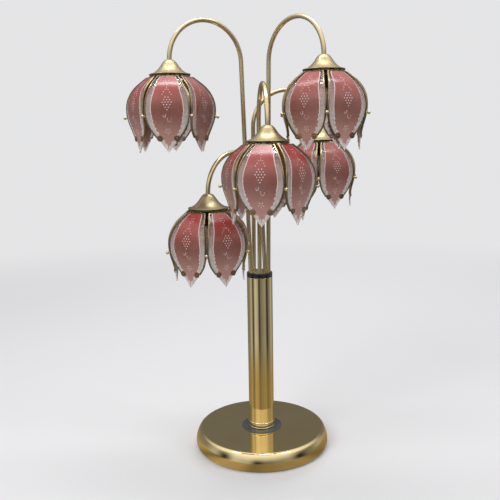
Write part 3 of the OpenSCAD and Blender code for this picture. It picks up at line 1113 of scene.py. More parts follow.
@dataclass
class GlassPetals:
    """Six bent glass petals with a pink field, a ground line and a clear, chipped border."""

    shape: PetalShape
    scallops: Scallops = Scallops()
    border_w: float = 9.0
    top_border_w: float = 4.0
    point_border_w: float = 3.9
    widening: Pair = (2.0, 34.0)
    narrowing: Pair = (66.0, 100.0)
    line_w: float = 1.1
    stations: tuple[int, int, int] = (16, 38, 44)
    field_columns: int = 8
    front_depths: tuple[float, ...] = (1.5, 0.8, 0.45, 0.3, 0.0)
    back_depths: tuple[float, ...] = (1.5, 2.3, 2.75, 2.9, 3.0)

    @property
    def insets(self) -> tuple[float, ...]:
        """Distances of the border's rows from the glass's edge."""
        return (0.0, 0.25, 0.9, self.border_w - self.line_w, self.border_w)

    def _narrowed(self, point: Pair) -> float:
        """How much narrower than border_w the border is at a point of a side."""
        above = (self.border_w - self.top_border_w) * (1 - smooth_step(*self.widening, point[1]))
        return above + (self.border_w - self.point_border_w) * smooth_step(*self.narrowing, point[1])

    def _side(self, inset: float, moves: Sequence[float] | None) -> list[Pair]:
        """The right side's points at an inset.

        Args:
            inset: Distance from the glass's edge.
            moves: How far the chipped edge moves each point in, or None.

        Returns:
            The points from the top to the petal's point.
        """
        places = [(0, i / self.stations[0]) for i in range(self.stations[0])]
        places += [(1, i / self.stations[1]) for i in range(self.stations[1])]
        places += [(2, i / self.stations[2]) for i in range(self.stations[2] + 1)]
        top = self.shape.top_drop
        extra = moves or [0.0] * len(places)
        return [self.shape.side_point(-inset - move, part, share, top)
                for (part, share), move in zip(places, extra)]

    def add_petal(self, work: Workpiece, matrix: Matrix, rng: random.Random) -> None:
        """Adds one petal to a workpiece.

        Args:
            work: The workpiece.
            matrix: Places the petal from its own axes.
            rng: The petal's own random numbers.
        """
        plain = self._side(self.border_w, None)
        moves = [[bite - self._narrowed(point) for bite, point in zip(self.scallops.along(plain, rng), plain)]
                 for _ in range(2)]
        chipped_from = len(self.insets) - 2
        sides: list[list[list[Pair]]] = []
        for moved in moves:
            rows = [self._side(inset, moved if row >= chipped_from else None)
                    for row, inset in enumerate(self.insets)]
            sides.append(rows)
        length = len(plain) - 1
        for depths in (self.front_depths, self.back_depths):
            self._add_border(work, matrix, sides, depths, length)
            self._add_field(work, matrix, sides, depths[-1], length)

    def _add_border(self, work: Workpiece, matrix: Matrix, sides: list[list[list[Pair]]],
                    depths: Sequence[float], length: int) -> None:
        """Adds the border's rows of faces on both sides of one face of the glass.

        Args:
            work: The workpiece.
            matrix: Places the petal from its own axes.
            sides: The points of every row on the left and on the right.
            depths: Each row's depth under the outer face.
            length: Number of steps along a side.
        """
        last = len(self.insets) - 1
        for side, rows in zip((-1, 1), sides):
            for first, count, material in ((0, last - 1, 1), (last - 1, 1, 2)):

                def flat(s: float, t: float) -> tuple[float, float, float]:
                    """A point of the border for two shares.

                    Args:
                        s: Share along the side.
                        t: Share across the rows.

                    Returns:
                        Offset across, drop and depth.
                    """
                    row = first + round(t * count)
                    across, drop = rows[row][round(s * length)]
                    return side * across, drop, depths[row]

                work.grid(length, count, lambda s, t: matrix @ self.shape.on_sheet(*flat(s, t)), material,
                          lambda s, t: flat(s, t)[:2])

    def _add_field(self, work: Workpiece, matrix: Matrix, sides: list[list[list[Pair]]], depth: float,
                   length: int) -> None:
        """Adds the pink field of one face of the glass.

        Args:
            work: The workpiece.
            matrix: Places the petal from its own axes.
            sides: The points of every row on the left and on the right.
            depth: The field's depth under the outer face.
            length: Number of steps along a side.
        """
        left, right = sides[0][-1], sides[1][-1]

        def flat(s: float, t: float) -> Pair:
            """Offset across and drop for two shares."""
            a, b = left[round(s * length)], right[round(s * length)]
            return -a[0] * (1 - t) + b[0] * t, a[1] * (1 - t) + b[1] * t

        work.grid(length, self.field_columns,
                  lambda s, t: matrix @ self.shape.on_sheet(*flat(s, t), depth), 0, flat)


@dataclass
class Edging:
    """Brass edging on both sides of a petal down to its tabs, with the lug that it hangs by.

    The lug is two boxes, each given by its size and its centre.
    """

    shape: PetalShape
    top_drop: float = 3.2
    tab_drop: float = 103.0
    tab_side: float = 13.5
    tab_r: float = 4.8
    bar_section: Pair = (1.0, 3.2)
    lug_post: tuple[Sequence[float], Sequence[float]] = ((4, 6, 3.2), (30.5, 0, -2.8))
    lug_foot: tuple[Sequence[float], Sequence[float]] = ((7, 6, 1.0), (26.0, 0, -1.2))
    stations: tuple[int, int, int] = (20, 14, 8)
    section: tuple[Pair, ...] = ((0, -0.3), (0.9, -0.3), (1.5, -0.1), (1.9, 0.5), (2.0, 1.5), (1.9, 2.5),
                                 (1.5, 3.1), (0.9, 3.3), (0, 3.3), (0, -0.3))

    def _cut_share(self, grow: float) -> float:
        """Share of the point's straight side at which the edging ends.

        Args:
            grow: How far outside the glass's edge the line is.

        Returns:
            The share, from 0 to 1.
        """
        start = self.shape.side_point(grow, 2, 0, self.top_drop)[1]
        end = self.shape.side_point(grow, 2, 1, self.top_drop)[1]
        return (self.tab_drop - start) / (end - start)

    def add_sides(self, work: Workpiece, matrix: Matrix) -> None:
        """Adds the two side strips of one petal and the bar across its top.

        Args:
            work: The workpiece.
            matrix: Places the petal from its own axes.
        """
        upper, lower, straight = self.stations
        places = [(0, i / upper) for i in range(upper)] + [(1, i / lower) for i in range(lower)]
        places += [(2, i / straight) for i in range(straight + 1)]
        length, rows = len(places) - 1, len(self.section) - 1

        def strip(side: int) -> Placer:
            """Makes the placer for the strip on one side.

            Args:
                side: 1 on the right or -1 on the left.

            Returns:
                The placer.
            """
            def at(s: float, t: float) -> Vector:
                """Place on the strip's skin for two shares.

                Args:
                    s: Share along the strip.
                    t: Share round its section.

                Returns:
                    The place.
                """
                grow, depth = self.section[round(t * rows)]
                part, share = places[round(s * length)]
                if part == 2:
                    share *= self._cut_share(grow)
                across, drop = self.shape.side_point(grow, part, share, self.top_drop)
                return matrix @ self.shape.on_sheet(side * across, drop, depth)
            return at

        for side in (-1, 1):
            work.grid(length, rows, strip(side))
        half = self.shape.side_point(0.5, 0, 0, self.top_drop)[0]
        bar = self.shape.matrix_on(0, (self.top_drop + self.shape.top_drop) / 2, 1.5)
        work.box((2 * half, *self.bar_section), matrix @ bar)
        for size, centre in (self.lug_post, self.lug_foot):
            work.box(size, matrix @ Matrix.Translation(centre))

    def add_tabs(self, work: Workpiece, matrix: Matrix) -> None:
        """Adds the two round tabs, each with a riveted centre and a strap to the edging.

        Args:
            work: The workpiece.
            matrix: Places the petal from its own axes.
        """
        rim = arc((self.tab_r - 0.3, 0.6), 0.3, -90, 90, 4)
        disc = [(0, 0)] + [(r, z - 0.3) for r, z in rim] + [(self.tab_r - 1.1, 0.62), (0, 0.62)]
        rivet = [(0, 0.5), (1.7, 0.5)] + arc((0.9, 0.62), 0.75, 0, 90, 5) + [(0, 1.37)]
        for side in (-1, 1):
            seat = matrix @ self.shape.matrix_on(side * self.tab_side, self.tab_drop, -0.12)
            work.spin(disc, 24, seat, 0)
            work.spin(rivet, 16, seat, 0)
            strap = Matrix.Translation((side * 3.2, 1.2, 0.25)) @ Matrix.Rotation(side * 0.3, 4, "Z")
            work.box((3.4, 3.2, 0.5), seat @ strap, 0.12, 1)


@dataclass
class DotPrint:
    """Raised white dots on each petal: flowers, a sprig, leaves, a lattice and two hooks."""

    shape: PetalShape
    thickness: float = 0.16
    sink: float = 0.02
    flower_drops: Pair = (15.0, 92.0)
    flower_r: float = 3.6
    flower_petals: int = 5
    sprig_drop: float = 22.0
    sprig_step: float = 2.3
    leaf_drop: float = 27.0
    leaf_step: float = 3.6
    lattice_drop: float = 39.0
    lattice_rows: tuple[int, ...] = (2, 3, 4, 3, 2, 1)
    lattice_step: Pair = (4.7, 3.9)
    hooks: tuple[tuple[float, float, float, int], ...] = ((3.2, 73.0, 4.4, 1), (-4.6, 67.0, 2.8, -1))

    def motifs(self) -> list[Dot]:
        """Works out every dot of one petal.

        Returns:
            Each dot as its offset across, drop, half length, half width and turn in degrees.
        """
        over, step = self.lattice_step, self.sprig_step
        dots = self._flower(self.flower_drops[0])
        dots += [(0, self.sprig_drop + step * i, 0.9, 0.42, 90) for i in range(3)]
        for side in (-1, 1):
            dots += [(side * (2.6 + step * i), self.leaf_drop + self.leaf_step * i, 1.4, 0.5,
                      90 - side * (50 - 12 * i)) for i in range(3)]
        for row, count in enumerate(self.lattice_rows):
            dots += [((i - (count - 1) / 2) * over[0], self.lattice_drop + over[1] * row, 0.98, 0.9, 90)
                     for i in range(count)]
        for hook in self.hooks:
            dots += self._hook(*hook)
        return dots + self._flower(self.flower_drops[1])

    def _flower(self, drop: float) -> list[Dot]:
        """A ring of dots round one dot.

        Args:
            drop: The drop of its middle.

        Returns:
            The dots, as in motifs.
        """
        made = [(0, drop, 0.75, 0.75, 0.0)]
        for i in range(self.flower_petals):
            angle = TURN * (i + 0.25) / self.flower_petals
            made.append((self.flower_r * math.cos(angle), drop + self.flower_r * math.sin(angle), 0.95, 0.85,
                         math.degrees(angle)))
        return made

    @staticmethod
    def _hook(across: float, drop: float, radius: float, side: int) -> list[Dot]:
        """A hook of strokes that shrink along it, open at its top.

        Args:
            across: The offset across of its middle.
            drop: The drop of its middle.
            radius: How far it reaches below its middle.
            side: 1 if its strokes run from left to right, or -1 from right to left.

        Returns:
            The strokes, as in motifs.
        """
        made = []
        for i in range(7):
            angle = math.radians(200 - 33 * i)
            made.append((across + side * radius * 0.75 * math.cos(angle), drop + radius * math.sin(angle),
                         1.05 - 0.07 * i, 0.45, side * (math.degrees(angle) + 90)))
        return made

    def add(self, work: Workpiece, matrix: Matrix) -> None:
        """Adds every dot of one petal.

        Args:
            work: The workpiece.
            matrix: Places the petal from its own axes.
        """
        for across, drop, long, wide, degrees in self.motifs():
            seat = matrix @ self.shape.matrix_on(across, drop, self.sink - self.thickness / 2)
            turned = Matrix.Rotation(math.radians(degrees), 4, "Z")
            shaped = seat @ turned @ Matrix.Diagonal((long, wide, 1, 1))
            bmesh.ops.create_cone(work.bm, cap_ends=True, segments=8, radius1=1.0, radius2=0.55,
                                  depth=self.thickness, matrix=shaped)


# ---------------------------------------------------------------- arms


@dataclass(frozen=True)
class Station:
    """A ring of the tube's skin: its centre in the arm's plane, its direction and its radius."""

    out: float
    up: float
    tilt: float
    radius: float


@dataclass
class CaneArm:
    """One arm: its tube, cap, hanger ring, lampholder, bulb and petals."""

    palette: Palette
    number: int
    stem: Vector
    nodes: dict[str, bpy.types.Object]
    tube_r: float = 3.9
    bore_r: float = 2.8
    spigot_r: float = 2.8
    spigot_h: float = 11.0
    spigot_bore_r: float = 1.8
    hook_r: float = 67.5
    kink_rise: float = 8.0
    kink_r: float = 200.0
    kink_steps: int = 8
    hook_steps: int = 72
    tube_end: float = 7.0
    ring_steps: int = 28
    petal_count: int = 6
    turn_steps: int = 96
    cap_bead_r: float = 1.2
    cap_wall: float = 1.0
    cap_gap: float = 0.1
    cap_bead_clearance: float = 0.12
    cap_bead_lap: float = 6.0
    hanger_rings: tuple[float, ...] = (14.1, 22.0, 29.0)
    hanger_flat_r: float = 30.5
    hanger_dish: float = 2.4
    hanger_t: float = 1.2
    notch_r: float = 5.5
    lobe_recess: float = 1.9
    lobe_edge: Pair = (17.0, 21.0)
    holder_r: float = 14.0
    rib_count: int = 3
    rib_pitch: float = 2.0
    rib_drop: float = 23.4
    rib_depth: float = 0.4
    globe_r: float = 22.5
    globe_drop: float = 59.5
    globe_end: float = 52.0
    neck_pull: float = 5.5
    bead_r: float = 2.7
    bead_reach: float = 77.6
    bead_drop: float = 68.3
    bar_size: tuple[float, float, float] = (1, 6, 4)
    bar_reach: float = 68.9
    shape: PetalShape = field(default_factory=PetalShape)

    def __post_init__(self) -> None:
        """Reads the arm's places from the construction model."""
        low, high = node_box(f"cap_{self.number}")
        self.rim = Vector(((low.x + high.x) / 2, (low.y + high.y) / 2, low.z))
        self.cap_h = high.z - low.z
        self.cap_r = (high.x - low.x) / 2
        collar = node_box("collar")[1]
        reach = self.rim.xy - self.stem.xy
        self.reach, self.facing = reach.length, math.atan2(reach.y, reach.x)
        self.seat_z = node_box("clamp_plate")[1].z
        self.kink_z = collar.z + self.kink_rise
        self.hook_z = self.rim.z + self.cap_h
        across, rise = self.reach - self.hook_r, self.hook_z - self.kink_z
        self.lean = math.acos(self.hook_r / math.hypot(across, rise)) - math.atan2(rise, across)
        self.body = f"arm_{self.number}"
        self.rng = random.Random(self.number)
        self.shade = Matrix.Translation(self.rim) @ Matrix.Rotation(self._petal_turn(), 4, "Z")

    def _petal_turn(self) -> float:
        """Reads where a petal points from the lowest points of the construction's petals.

        Returns:
            The angle from the X axis.
        """
        places = [v.co / MM for v in self.nodes[f"glass_petals_{self.number}"].data.vertices]
        lowest = min(p.z for p in places)
        tips = [p - self.rim for p in places if p.z < lowest + 0.4]
        angles = [math.atan2(p.y, p.x) * self.petal_count for p in tips]
        return math.atan2(sum(map(math.sin, angles)), sum(map(math.cos, angles))) / self.petal_count

    def build(self) -> None:
        """Builds every piece that rides on the arm."""
        self.make_tube()
        self.make_cap()
        self.make_hanger()
        self.make_lampholder()
        self.make_bulb()
        self.make_petals()
        self.make_beads()
        dress_node(self.nodes[f"arm_lead_{self.number}"], self.palette[Finish.LEAD_INSULATION])

    def _deliver(self, work: Workpiece, name: str, node: str | None, slot: str | None, *finishes: Finish,
                 sharp: float = 38.0) -> None:
        """Delivers a workpiece as a piece of this arm."""
        replaced = (f"{node}_{self.number}",) if node else ()
        work.deliver(f"{name}_{self.number}", self.body, self.palette.many(*finishes), replaced, sharp)

    def _centre_line(self, end: float) -> list[tuple[float, float, float]]:
        """Walks the bent part of the tube's centre line.

        Args:
            end: How far above the cap's rim the line ends.

        Returns:
            Each point's place out from the stem, its height and its tilt.
        """
        half = self.kink_r * math.tan(self.lean / 2)
        line = [(0.0, self.kink_z - half - 3, 0.0)]
        for i in range(self.kink_steps + 1):
            angle = self.lean * i / self.kink_steps
            line.append((self.kink_r * (1 - math.cos(angle)),
                         self.kink_z - half + self.kink_r * math.sin(angle), angle))
        centre = self.reach - self.hook_r
        for i in range(self.hook_steps + 1):
            angle = math.pi - self.lean + (self.lean - math.pi) * i / self.hook_steps
            line.append((centre + self.hook_r * math.cos(angle), self.hook_z + self.hook_r * math.sin(angle),
                         math.pi - angle))
        line.append((self.reach, self.rim.z + end, math.pi))
        return line

    def make_tube(self) -> None:
        """The bent tube with its bore, and the spigot under it."""
        outer = [Station(*point, self.tube_r) for point in self._centre_line(self.tube_end)]
        bore = [Station(*point, self.bore_r) for point in self._centre_line(self.tube_end)]
        foot = self.seat_z - self.spigot_h
        skin = [Station(0, foot, 0, self.spigot_bore_r), Station(0, foot, 0, self.spigot_r),
                Station(0, self.seat_z, 0, self.spigot_r), Station(0, self.seat_z, 0, self.tube_r)] + outer
        skin += bore[::-1] + [Station(0, self.seat_z + 2, 0, self.bore_r),
                              Station(0, self.seat_z + 2, 0, self.spigot_bore_r),
                              Station(0, foot, 0, self.spigot_bore_r)]
        walked = [0.0]
        for before, after in zip(skin, skin[1:]):
            walked.append(walked[-1] + math.hypot(after.out - before.out, after.up - before.up))
        plane = Matrix.Translation((self.stem.x, self.stem.y, 0)) @ Matrix.Rotation(self.facing, 4, "Z")

        def ring(s: float, t: float) -> Vector:
            """Place on the tube's skin for two shares.

            Args:
                s: Share along the skin.
                t: Share round the tube.

            Returns:
                The place.
            """
            at = skin[round(s * (len(skin) - 1))]
            side = at.radius * math.cos(TURN * t)
            return plane @ Vector((at.out + side * math.cos(at.tilt), at.radius * math.sin(TURN * t),
                                   at.up - side * math.sin(at.tilt)))

        work = Workpiece()
        work.grid(len(skin) - 1, self.ring_steps, ring, 0,
                  lambda s, t: (walked[round(s * (len(skin) - 1))], t * TURN * self.tube_r))
        self._deliver(work, "cane_tube", "arm_tube", "arm_brass", Finish.ARM_BRASS)

    def make_cap(self) -> None:
        """The bell cap: a small dome, a concave flare and a rolled rim."""
        bead = (self.cap_r - self.cap_bead_r, self.cap_bead_r)

        def bearing(point: Pair) -> float:
            """Angle of a point seen from the middle of the rim's roll, in degrees."""
            return math.degrees(math.atan2(point[1] - bead[1], point[0] - bead[0]))

        curve = bezier([(5, self.cap_h), (14.5, self.cap_h - 2.4), (13.5, 8.5), (self.cap_r - 0.6, 1.2)], 40)
        bore_r = self.tube_r + self.cap_gap
        outer = [(bore_r, self.cap_h)] + curve
        inner = inset_line(outer, self.cap_wall)
        inner[0] = (bore_r, self.cap_h - self.cap_wall)
        clear = self.cap_bead_r + self.cap_bead_clearance
        outer = [p for p in outer if math.dist(p, bead) > clear]
        inner = [p for p in inner if math.dist(p, bead) > clear and p[1] > 0.4]
        start, end = bearing(outer[-1]) - self.cap_bead_lap, bearing(inner[-1]) + self.cap_bead_lap
        rolled = arc(bead, self.cap_bead_r, start, end - 360 if end > self.cap_bead_lap else end, 22)
        work = Workpiece()
        work.spin(outer + rolled + inner[::-1], self.turn_steps, self.shade)
        self._deliver(work, "bell_cap", "cap", "cap_brass", Finish.CAP_BRASS)

    def _hanger_edge(self, angle: float) -> float:
        """The hanger's edge over one petal: a notch, two lobes and two recesses.

        Args:
            angle: The angle from the petal's middle.

        Returns:
            The outer radius.
        """
        centre = self.hanger_flat_r + self.notch_r - 0.5
        across = centre * math.sin(angle)
        low, high = map(math.radians, self.lobe_edge)
        full = self.cap_r - self.lobe_recess * smooth_step(low, high, abs(angle))
        if abs(across) >= self.notch_r:
            return full
        return min(full, centre * math.cos(angle) - math.sqrt(self.notch_r**2 - across**2))

    def make_hanger(self) -> None:
        """The stamped ring that shows as lobes under the cap's rim."""
        radii, half_t = (*self.hanger_rings, self.hanger_flat_r), self.hanger_t / 2
        sector, steps, last = TURN / self.petal_count, 60 * self.petal_count, len(radii)
        loop = [(i, half_t) for i in range(last + 1)] + [(i, -half_t) for i in range(last, -1, -1)]
        loop.append(loop[0])

        def sheet(s: float, t: float) -> Vector:
            """Place on the ring's skin for two shares.

            Args:
                s: Share round the ring.
                t: Share round its section.

            Returns:
                The place.
            """
            index, lift = loop[round(t * (len(loop) - 1))]
            off = (s * TURN + sector / 2) % sector - sector / 2
            radius = radii[index] if index < last else self._hanger_edge(off)
            dished = max(0.0, radius - self.hanger_flat_r) / (self.cap_r - self.hanger_flat_r)
            return self.shade @ Vector((radius * math.cos(s * TURN), radius * math.sin(s * TURN),
                                        lift - self.hanger_dish * dished))

        work = Workpiece()
        work.grid(steps, len(loop) - 1, sheet)
        self._deliver(work, "hanger_ring", "petal_hanger", "edging_brass", Finish.EDGING_BRASS, sharp=30)

    def make_lampholder(self) -> None:
        """The moulded lampholder with its lip, its ribs and the flange that clamps the hanger."""
        r, dent = self.holder_r, self.rib_depth
        lip = [(7.3, -28), (13.6, -28)] + arc((13.6, -26.9), 1.1, -90, 0, 5) + [(14.7, -25.6), (14.2, -25)]
        ribs = [(r - depth, self.rib_pitch * i - self.rib_drop + rise) for i in range(self.rib_count)
                for depth, rise in ((0, 0), (dent, dent), (dent, 2 * dent), (0, 3 * dent))]
        flange = [(r, -2.0), (16.6, -2.0), (17, -1.6), (17, -0.8), (16.8, -0.6), (r, -0.6)]
        upper = [(r, 5.4), (13.6, 6.2), (8, 12), (4, 12), (4, 6), (2.4, 6), (2.4, -5), (7.3, -5)]
        work = Workpiece()
        work.spin(lip + ribs + flange + upper, 72, self.shade)
        self._deliver(work, "lamp_socket", "lampholder", "black_phenolic", Finish.BLACK_PHENOLIC)

    def make_bulb(self) -> None:
        """The opal golf ball bulb on its metal screw cap."""
        globe = arc((0, -self.globe_drop), self.globe_r, -90, self.globe_end, 40)
        end, tilt = Vector(globe[-1]), math.radians(self.globe_end)
        leave = end + Vector((-math.sin(tilt), math.cos(tilt))) * self.neck_pull
        neck = bezier([tuple(end), tuple(leave), (6.9, -35), (6.8, -28.5)], 14)
        ridges = [p for i in range(5) for p in ((6.7, -28 + 3 * i), (6.2, -26.5 + 3 * i))]
        screw = [(0, -28.6), (6.5, -28.6)] + ridges + [(6.2, -12), (3.5, -10), (3.5, -7), (0, -7)]
        work = Workpiece()
        work.spin(globe + neck[1:] + [(0, -28.5)], 72, self.shade, 0)
        work.spin(screw, 48, self.shade, 1)
        self._deliver(work, "opal_bulb", "bulb", "opal_glass", Finish.OPAL_GLASS, Finish.ZINC_STEEL)

    def make_petals(self) -> None:
        """The glass petals with their dots, edging and tabs."""
        glass, frames, tabs, dots = (Workpiece() for _ in range(4))
        petals, edging, print_ = GlassPetals(self.shape), Edging(self.shape), DotPrint(self.shape)
        for i in range(self.petal_count):
            matrix = self.shade @ Matrix.Rotation(TURN * i / self.petal_count, 4, "Z")
            petals.add_petal(glass, matrix, self.rng)
            edging.add_sides(frames, matrix)
            edging.add_tabs(tabs, matrix)
            print_.add(dots, matrix)
        glass.close_holes(0)
        frames.close_holes(0)
        self._deliver(glass, "tulip_petals", "glass_petals", "pink_glass", Finish.PINK_GLASS,
                      Finish.CLEAR_BORDER, Finish.GROUND_LINE)
        self._deliver(frames, "petal_edging", "petal_frames", "edging_brass", Finish.EDGING_BRASS, sharp=50)
        self._deliver(tabs, "edging_tabs", None, "edging_brass", Finish.TAB_COPPER, Finish.EDGING_BRASS)
        self._deliver(dots, "petal_dots", None, None, Finish.WHITE_DOTS)

    def make_beads(self) -> None:
        """The round bead screw in each gap, with its pin and the bar behind the edgings."""
        work = Workpiece()
        ball = arc((0, self.bead_reach), self.bead_r, 90, -64, 16)
        waist = [(1.3, 74.6), (1.9, 74.2), (1.9, 73.5), (0.8, 73.3), (0.8, 68.2), (0, 68.2)]
        outward = Matrix.Rotation(math.pi / 2, 4, "Y")
        for i in range(self.petal_count):
            turn = Matrix.Rotation(TURN * (i + 0.5) / self.petal_count, 4, "Z")
            seat = self.shade @ turn @ Matrix.Translation((0, 0, -self.bead_drop))
            work.spin([(0, self.bead_reach + self.bead_r)] + ball[1:] + waist, 24, seat @ outward)
            work.box(self.bar_size, seat @ Matrix.Translation((self.bar_reach, 0, 0)))
        self._deliver(work, "bead_screws", "bead_screws", "bead_brass", Finish.BEAD_BRASS)


# ---------------------------------------------------------------- studio


@dataclass(frozen=True)
class SoftBox:
    """A large area light, which shows in polished surfaces only if it is mirrored."""

    name: str
    place: tuple[float, float, float]
    target: tuple[float, float, float]
    size: Pair
    power: float
    mirrored: bool = False


def look_at(place: Sequence[float], target: Sequence[float]) -> Matrix:
    """A matrix at a place with its -Z axis towards a target."""
    direction = Vector(target) - Vector(place)
    return Matrix.Translation(place) @ direction.to_track_quat("-Z", "Y").to_matrix().to_4x4()


@dataclass
class Studio:
    """Camera, pale floor and background, soft lights and the room that polished brass mirrors.

    The levels of the mirrored room are strengths: its walls by their place round the lamp,
    its ceiling, the lamps at its zenith, and the golden light close to the foot.
    """

    background: Rgb = (0.78, 0.78, 0.79)
    fill_level: float = 0.55
    floor_colour: Rgb = (0.76, 0.76, 0.77)
    floor_r: float = 12.0
    fade: Pair = (0.9, 2.6)
    camera_place: tuple[float, float, float] = (-0.0172, -1.1606, 0.5834)
    camera_pitch: float = 9.92
    camera_roll: float = -0.97
    lens: float = 45.51
    softboxes: tuple[SoftBox, ...] = (
        SoftBox("key_light", (-1.5, -1.7, 1.9), (0, 0, 0.5), (1.4, 1.4), 34.0),
        SoftBox("side_light", (2.2, -0.8, 1.2), (0, 0, 0.45), (1.0, 1.6), 16.0),
        SoftBox("back_light", (0.4, 2.2, 1.7), (0, 0, 0.5), (1.6, 1.0), 16.0),
        SoftBox("ceiling_strip", (0.0, 0.05, 2.4), (0, 0.05, 0), (2.4, 0.24), 16.0, True),
    )
    dome_r: float = 5.0
    dome_foot: float = -0.2
    dome_colour: Rgb = (1.0, 0.99, 0.97)
    walls: tuple[Pair, ...] = (
        (0.0, 0.17), (0.19, 0.24), (0.26, 0.50), (0.32, 0.05), (0.375, 0.62), (0.43, 0.50), (0.475, 0.04),
        (0.52, 0.20), (0.57, 0.28), (0.62, 0.34), (0.675, 0.03), (0.735, 0.22), (0.81, 0.46), (0.9, 0.20),
        (1.0, 0.17))
    ceiling_level: float = 1.15
    ceiling_rise: Pair = (0.25, 0.85)
    ceiling_tilt: float = -0.22
    zenith_level: float = 3.0
    zenith_rise: Pair = (0.978, 0.995)
    zenith_tilt: float = 0.035
    near_fade: Pair = (0.3, 0.7)
    near_levels: Pair = (0.442, 0.204)
    near_colour: Rgb = (1.0, 0.78, 0.42)
    far_colour: Rgb = (1.0, 1.0, 1.0)

    def build(self) -> None:
        """Sets up the whole studio."""
        scene = bpy.context.scene
        scene.view_settings.view_transform = "Standard"
        self._world(scene)
        self._camera(scene)
        room = self._room()
        self._floor(room)
        for box in self.softboxes:
            self._softbox(box)
        self._dome(room)

    @staticmethod
    def _seen_by(nodes: Nodes, *rays: str) -> bpy.types.NodeSocket:
        """Is 1 for the named kinds of rays and 0 for all others.

        Args:
            nodes: The node adder to use.
            *rays: The kinds of rays, as Light Path names them.

        Returns:
            The output socket.
        """
        path = nodes.add("ShaderNodeLightPath").outputs
        first, *others = (path[f"Is {ray} Ray"] for ray in rays)
        for other in others:
            first = nodes.math("MAXIMUM", first, other)
        return first

    @staticmethod
    def _staged(name: str, bm: bmesh.types.BMesh, material: bpy.types.Material) -> bpy.types.Object:
        """Turns a mesh into an object of the studio, which isn't part of the lamp.

        Args:
            name: The object's name.
            bm: The mesh, which is freed.
            material: The material that it takes.

        Returns:
            The new object.
        """
        mesh = bpy.data.meshes.new(name)
        bm.to_mesh(mesh)
        bm.free()
        mesh.materials.append(material)
        backdrop = bpy.data.objects.new(name, mesh)
        bpy.context.scene.collection.objects.link(backdrop)
        return backdrop

    def _world(self, scene: bpy.types.Scene) -> None:
        """A pale background, and a softer level of light from all round.

        Args:
            scene: The scene.
        """
        world = bpy.data.worlds.new("studio_air")
        scene.world = world
        world.use_nodes = True
        world.node_tree.nodes.clear()
        nodes = Nodes(world.node_tree)
        seen = self._seen_by(nodes, "Camera", "Transmission", "Glossy")
        level = nodes.math("MULTIPLY_ADD", seen, 1 - self.fill_level, self.fill_level)
        air = nodes.add("ShaderNodeBackground", {"Color": rgba(self.background), "Strength": level})
        nodes.add("ShaderNodeOutputWorld", {"Surface": air.outputs[0]})

    def _camera(self, scene: bpy.types.Scene) -> None:
        """The camera that the photograph was fitted with.

        Args:
            scene: The scene.
        """
        data = bpy.data.cameras.new("photo_camera")
        data.lens = self.lens
        data.sensor_width = 36.0
        data.clip_end = 60.0
        camera = bpy.data.objects.new("photo_camera", data)
        turn = Matrix.Rotation(math.radians(90 - self.camera_pitch), 4, "X")
        roll = Matrix.Rotation(math.radians(self.camera_roll), 4, "Z")
        camera.matrix_world = Matrix.Translation(self.camera_place) @ turn @ roll
        scene.collection.objects.link(camera)
        scene.camera = camera

    def _floor(self, room: bpy.types.NodeTree) -> None:
        """A pale floor that takes the lamp's shadow and fades into the background.

        Args:
            room: The mirrored room, which the floor shows to reflections, golden close to the lamp.
        """
        material, nodes = bare_material("studio_floor")
        place = nodes.add("ShaderNodeTexCoord").outputs["Object"]
        away = nodes.add("ShaderNodeVectorMath", {0: place}, operation="LENGTH").outputs["Value"]
        seen = self._seen_by(nodes, "Camera", "Transmission")
        paint = nodes.add("ShaderNodeBsdfDiffuse", {"Color": rgba(self.floor_colour)})
        air = nodes.add("ShaderNodeEmission", {"Color": rgba(self.background)})
        shown = nodes.add("ShaderNodeMixShader", {
            0: nodes.math("MULTIPLY", nodes.ramp(away, *self.fade), seen), 1: paint.outputs[0],
            2: air.outputs[0]})
        far = nodes.ramp(away, *self.near_fade)
        walls = nodes.group(room, Place=place).outputs[0]
        near = nodes.math("MULTIPLY_ADD", walls, *self.near_levels)
        level = nodes.math("MULTIPLY", nodes.math("SUBTRACT", 1.0, far), near)
        mirrored = nodes.add("ShaderNodeEmission", {
            "Color": nodes.mixed(far, rgba(self.near_colour), rgba(self.far_colour)),
            "Strength": nodes.math("MULTIPLY_ADD", far, walls, level)})
        whole = nodes.add("ShaderNodeMixShader", {
            0: self._seen_by(nodes, "Glossy"), 1: shown.outputs[0], 2: mirrored.outputs[0]})
        nodes.add("ShaderNodeOutputMaterial", {"Surface": whole.outputs[0]})
        bm = bmesh.new()
        bmesh.ops.create_circle(bm, cap_ends=True, segments=128, radius=self.floor_r)
        self._staged("studio_floor", bm, material)

    def _softbox(self, box: SoftBox) -> None:
        """Hangs one area light.

        Args:
            box: The light's place, size and power.
        """
        data = bpy.data.lights.new(box.name, "AREA")
        data.shape = "RECTANGLE"
        data.size, data.size_y = box.size
        data.energy = box.power
        light = bpy.data.objects.new(box.name, data)
        light.matrix_world = look_at(box.place, box.target)
        light.visible_glossy = box.mirrored
        bpy.context.scene.collection.objects.link(light)

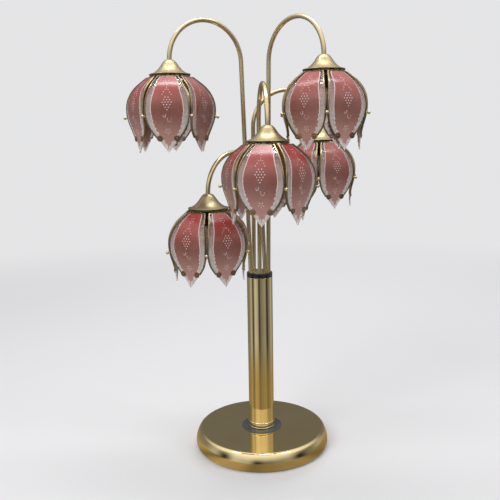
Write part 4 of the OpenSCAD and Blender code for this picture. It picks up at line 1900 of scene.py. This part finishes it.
    def _room(self) -> bpy.types.NodeTree:
        """What polished surfaces see by direction: bands of wall under a lighter ceiling with lamps.

        Returns:
            The node group, which gives a level for a place.
        """
        nodes = GroupNodes("reflected_room", {"Place": "Vector"}, {"Level": "Float"})
        towards = nodes.add("ShaderNodeVectorMath", {0: nodes.source["Place"]}, operation="NORMALIZE")
        x, y, z = nodes.add("ShaderNodeSeparateXYZ", {0: towards.outputs[0]}).outputs
        turned = nodes.math("ARCTAN2", x, nodes.math("MULTIPLY", y, -1.0))
        bands = nodes.add("ShaderNodeValToRGB", {0: nodes.math("MULTIPLY_ADD", turned, 1 / TURN, 0.5)})
        ramp = bands.color_ramp
        ramp.interpolation = "EASE"
        while len(ramp.elements) < len(self.walls):
            ramp.elements.new(0.5)
        for element, (position, level) in zip(ramp.elements, self.walls):
            element.position = position
            element.color = (level, level, level, 1)
        lift = nodes.ramp(nodes.math("MULTIPLY_ADD", y, self.ceiling_tilt, z), *self.ceiling_rise)
        wall = nodes.math("MULTIPLY", bands.outputs["Color"], nodes.math("SUBTRACT", 1.0, lift))
        ceiling = nodes.math("MULTIPLY_ADD", lift, self.ceiling_level, wall)
        lamps = nodes.ramp(nodes.math("MULTIPLY_ADD", y, self.zenith_tilt, z), *self.zenith_rise)
        return nodes.closed(Level=nodes.math("MULTIPLY_ADD", lamps, self.zenith_level, ceiling))

    def _dome(self, room: bpy.types.NodeTree) -> None:
        """A dome round the lamp that shows the mirrored room in reflections alone.

        Args:
            room: The mirrored room.
        """
        material, nodes = bare_material("reflection_dome")
        place = nodes.add("ShaderNodeTexCoord").outputs["Object"]
        level = nodes.group(room, Place=place).outputs[0]
        glow = nodes.add("ShaderNodeEmission", {"Color": rgba(self.dome_colour), "Strength": level})
        nodes.add("ShaderNodeOutputMaterial", {"Surface": glow.outputs[0]})
        bm = bmesh.new()
        bmesh.ops.create_uvsphere(bm, u_segments=64, v_segments=32, radius=self.dome_r)
        below = [v for v in bm.verts if v.co.z < self.dome_foot]
        bmesh.ops.delete(bm, geom=below, context="VERTS")
        dome = self._staged("reflection_dome", bm, material)
        for kind in ("camera", "diffuse", "shadow", "transmission"):
            setattr(dome, f"visible_{kind}", False)


# ---------------------------------------------------------------- whole lamp


def main() -> None:
    """Builds the lamp's looks and its studio round the construction model."""
    logging.basicConfig(level=logging.INFO, format="%(name)s: %(message)s")
    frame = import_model()
    palette = Palette()
    Stand(palette, {j["child"]: Vector(j["pos_m"]) / MM for j in frame["joints"]}).build(frame["nodes"])
    for joint in frame["joints"]:
        number = int(joint["child"].rsplit("_", 1)[1])
        CaneArm(palette, number, Vector(joint["pos_m"]) / MM, frame["nodes"]).build()
    Studio().build()


if __name__ == "__main__":
    main()
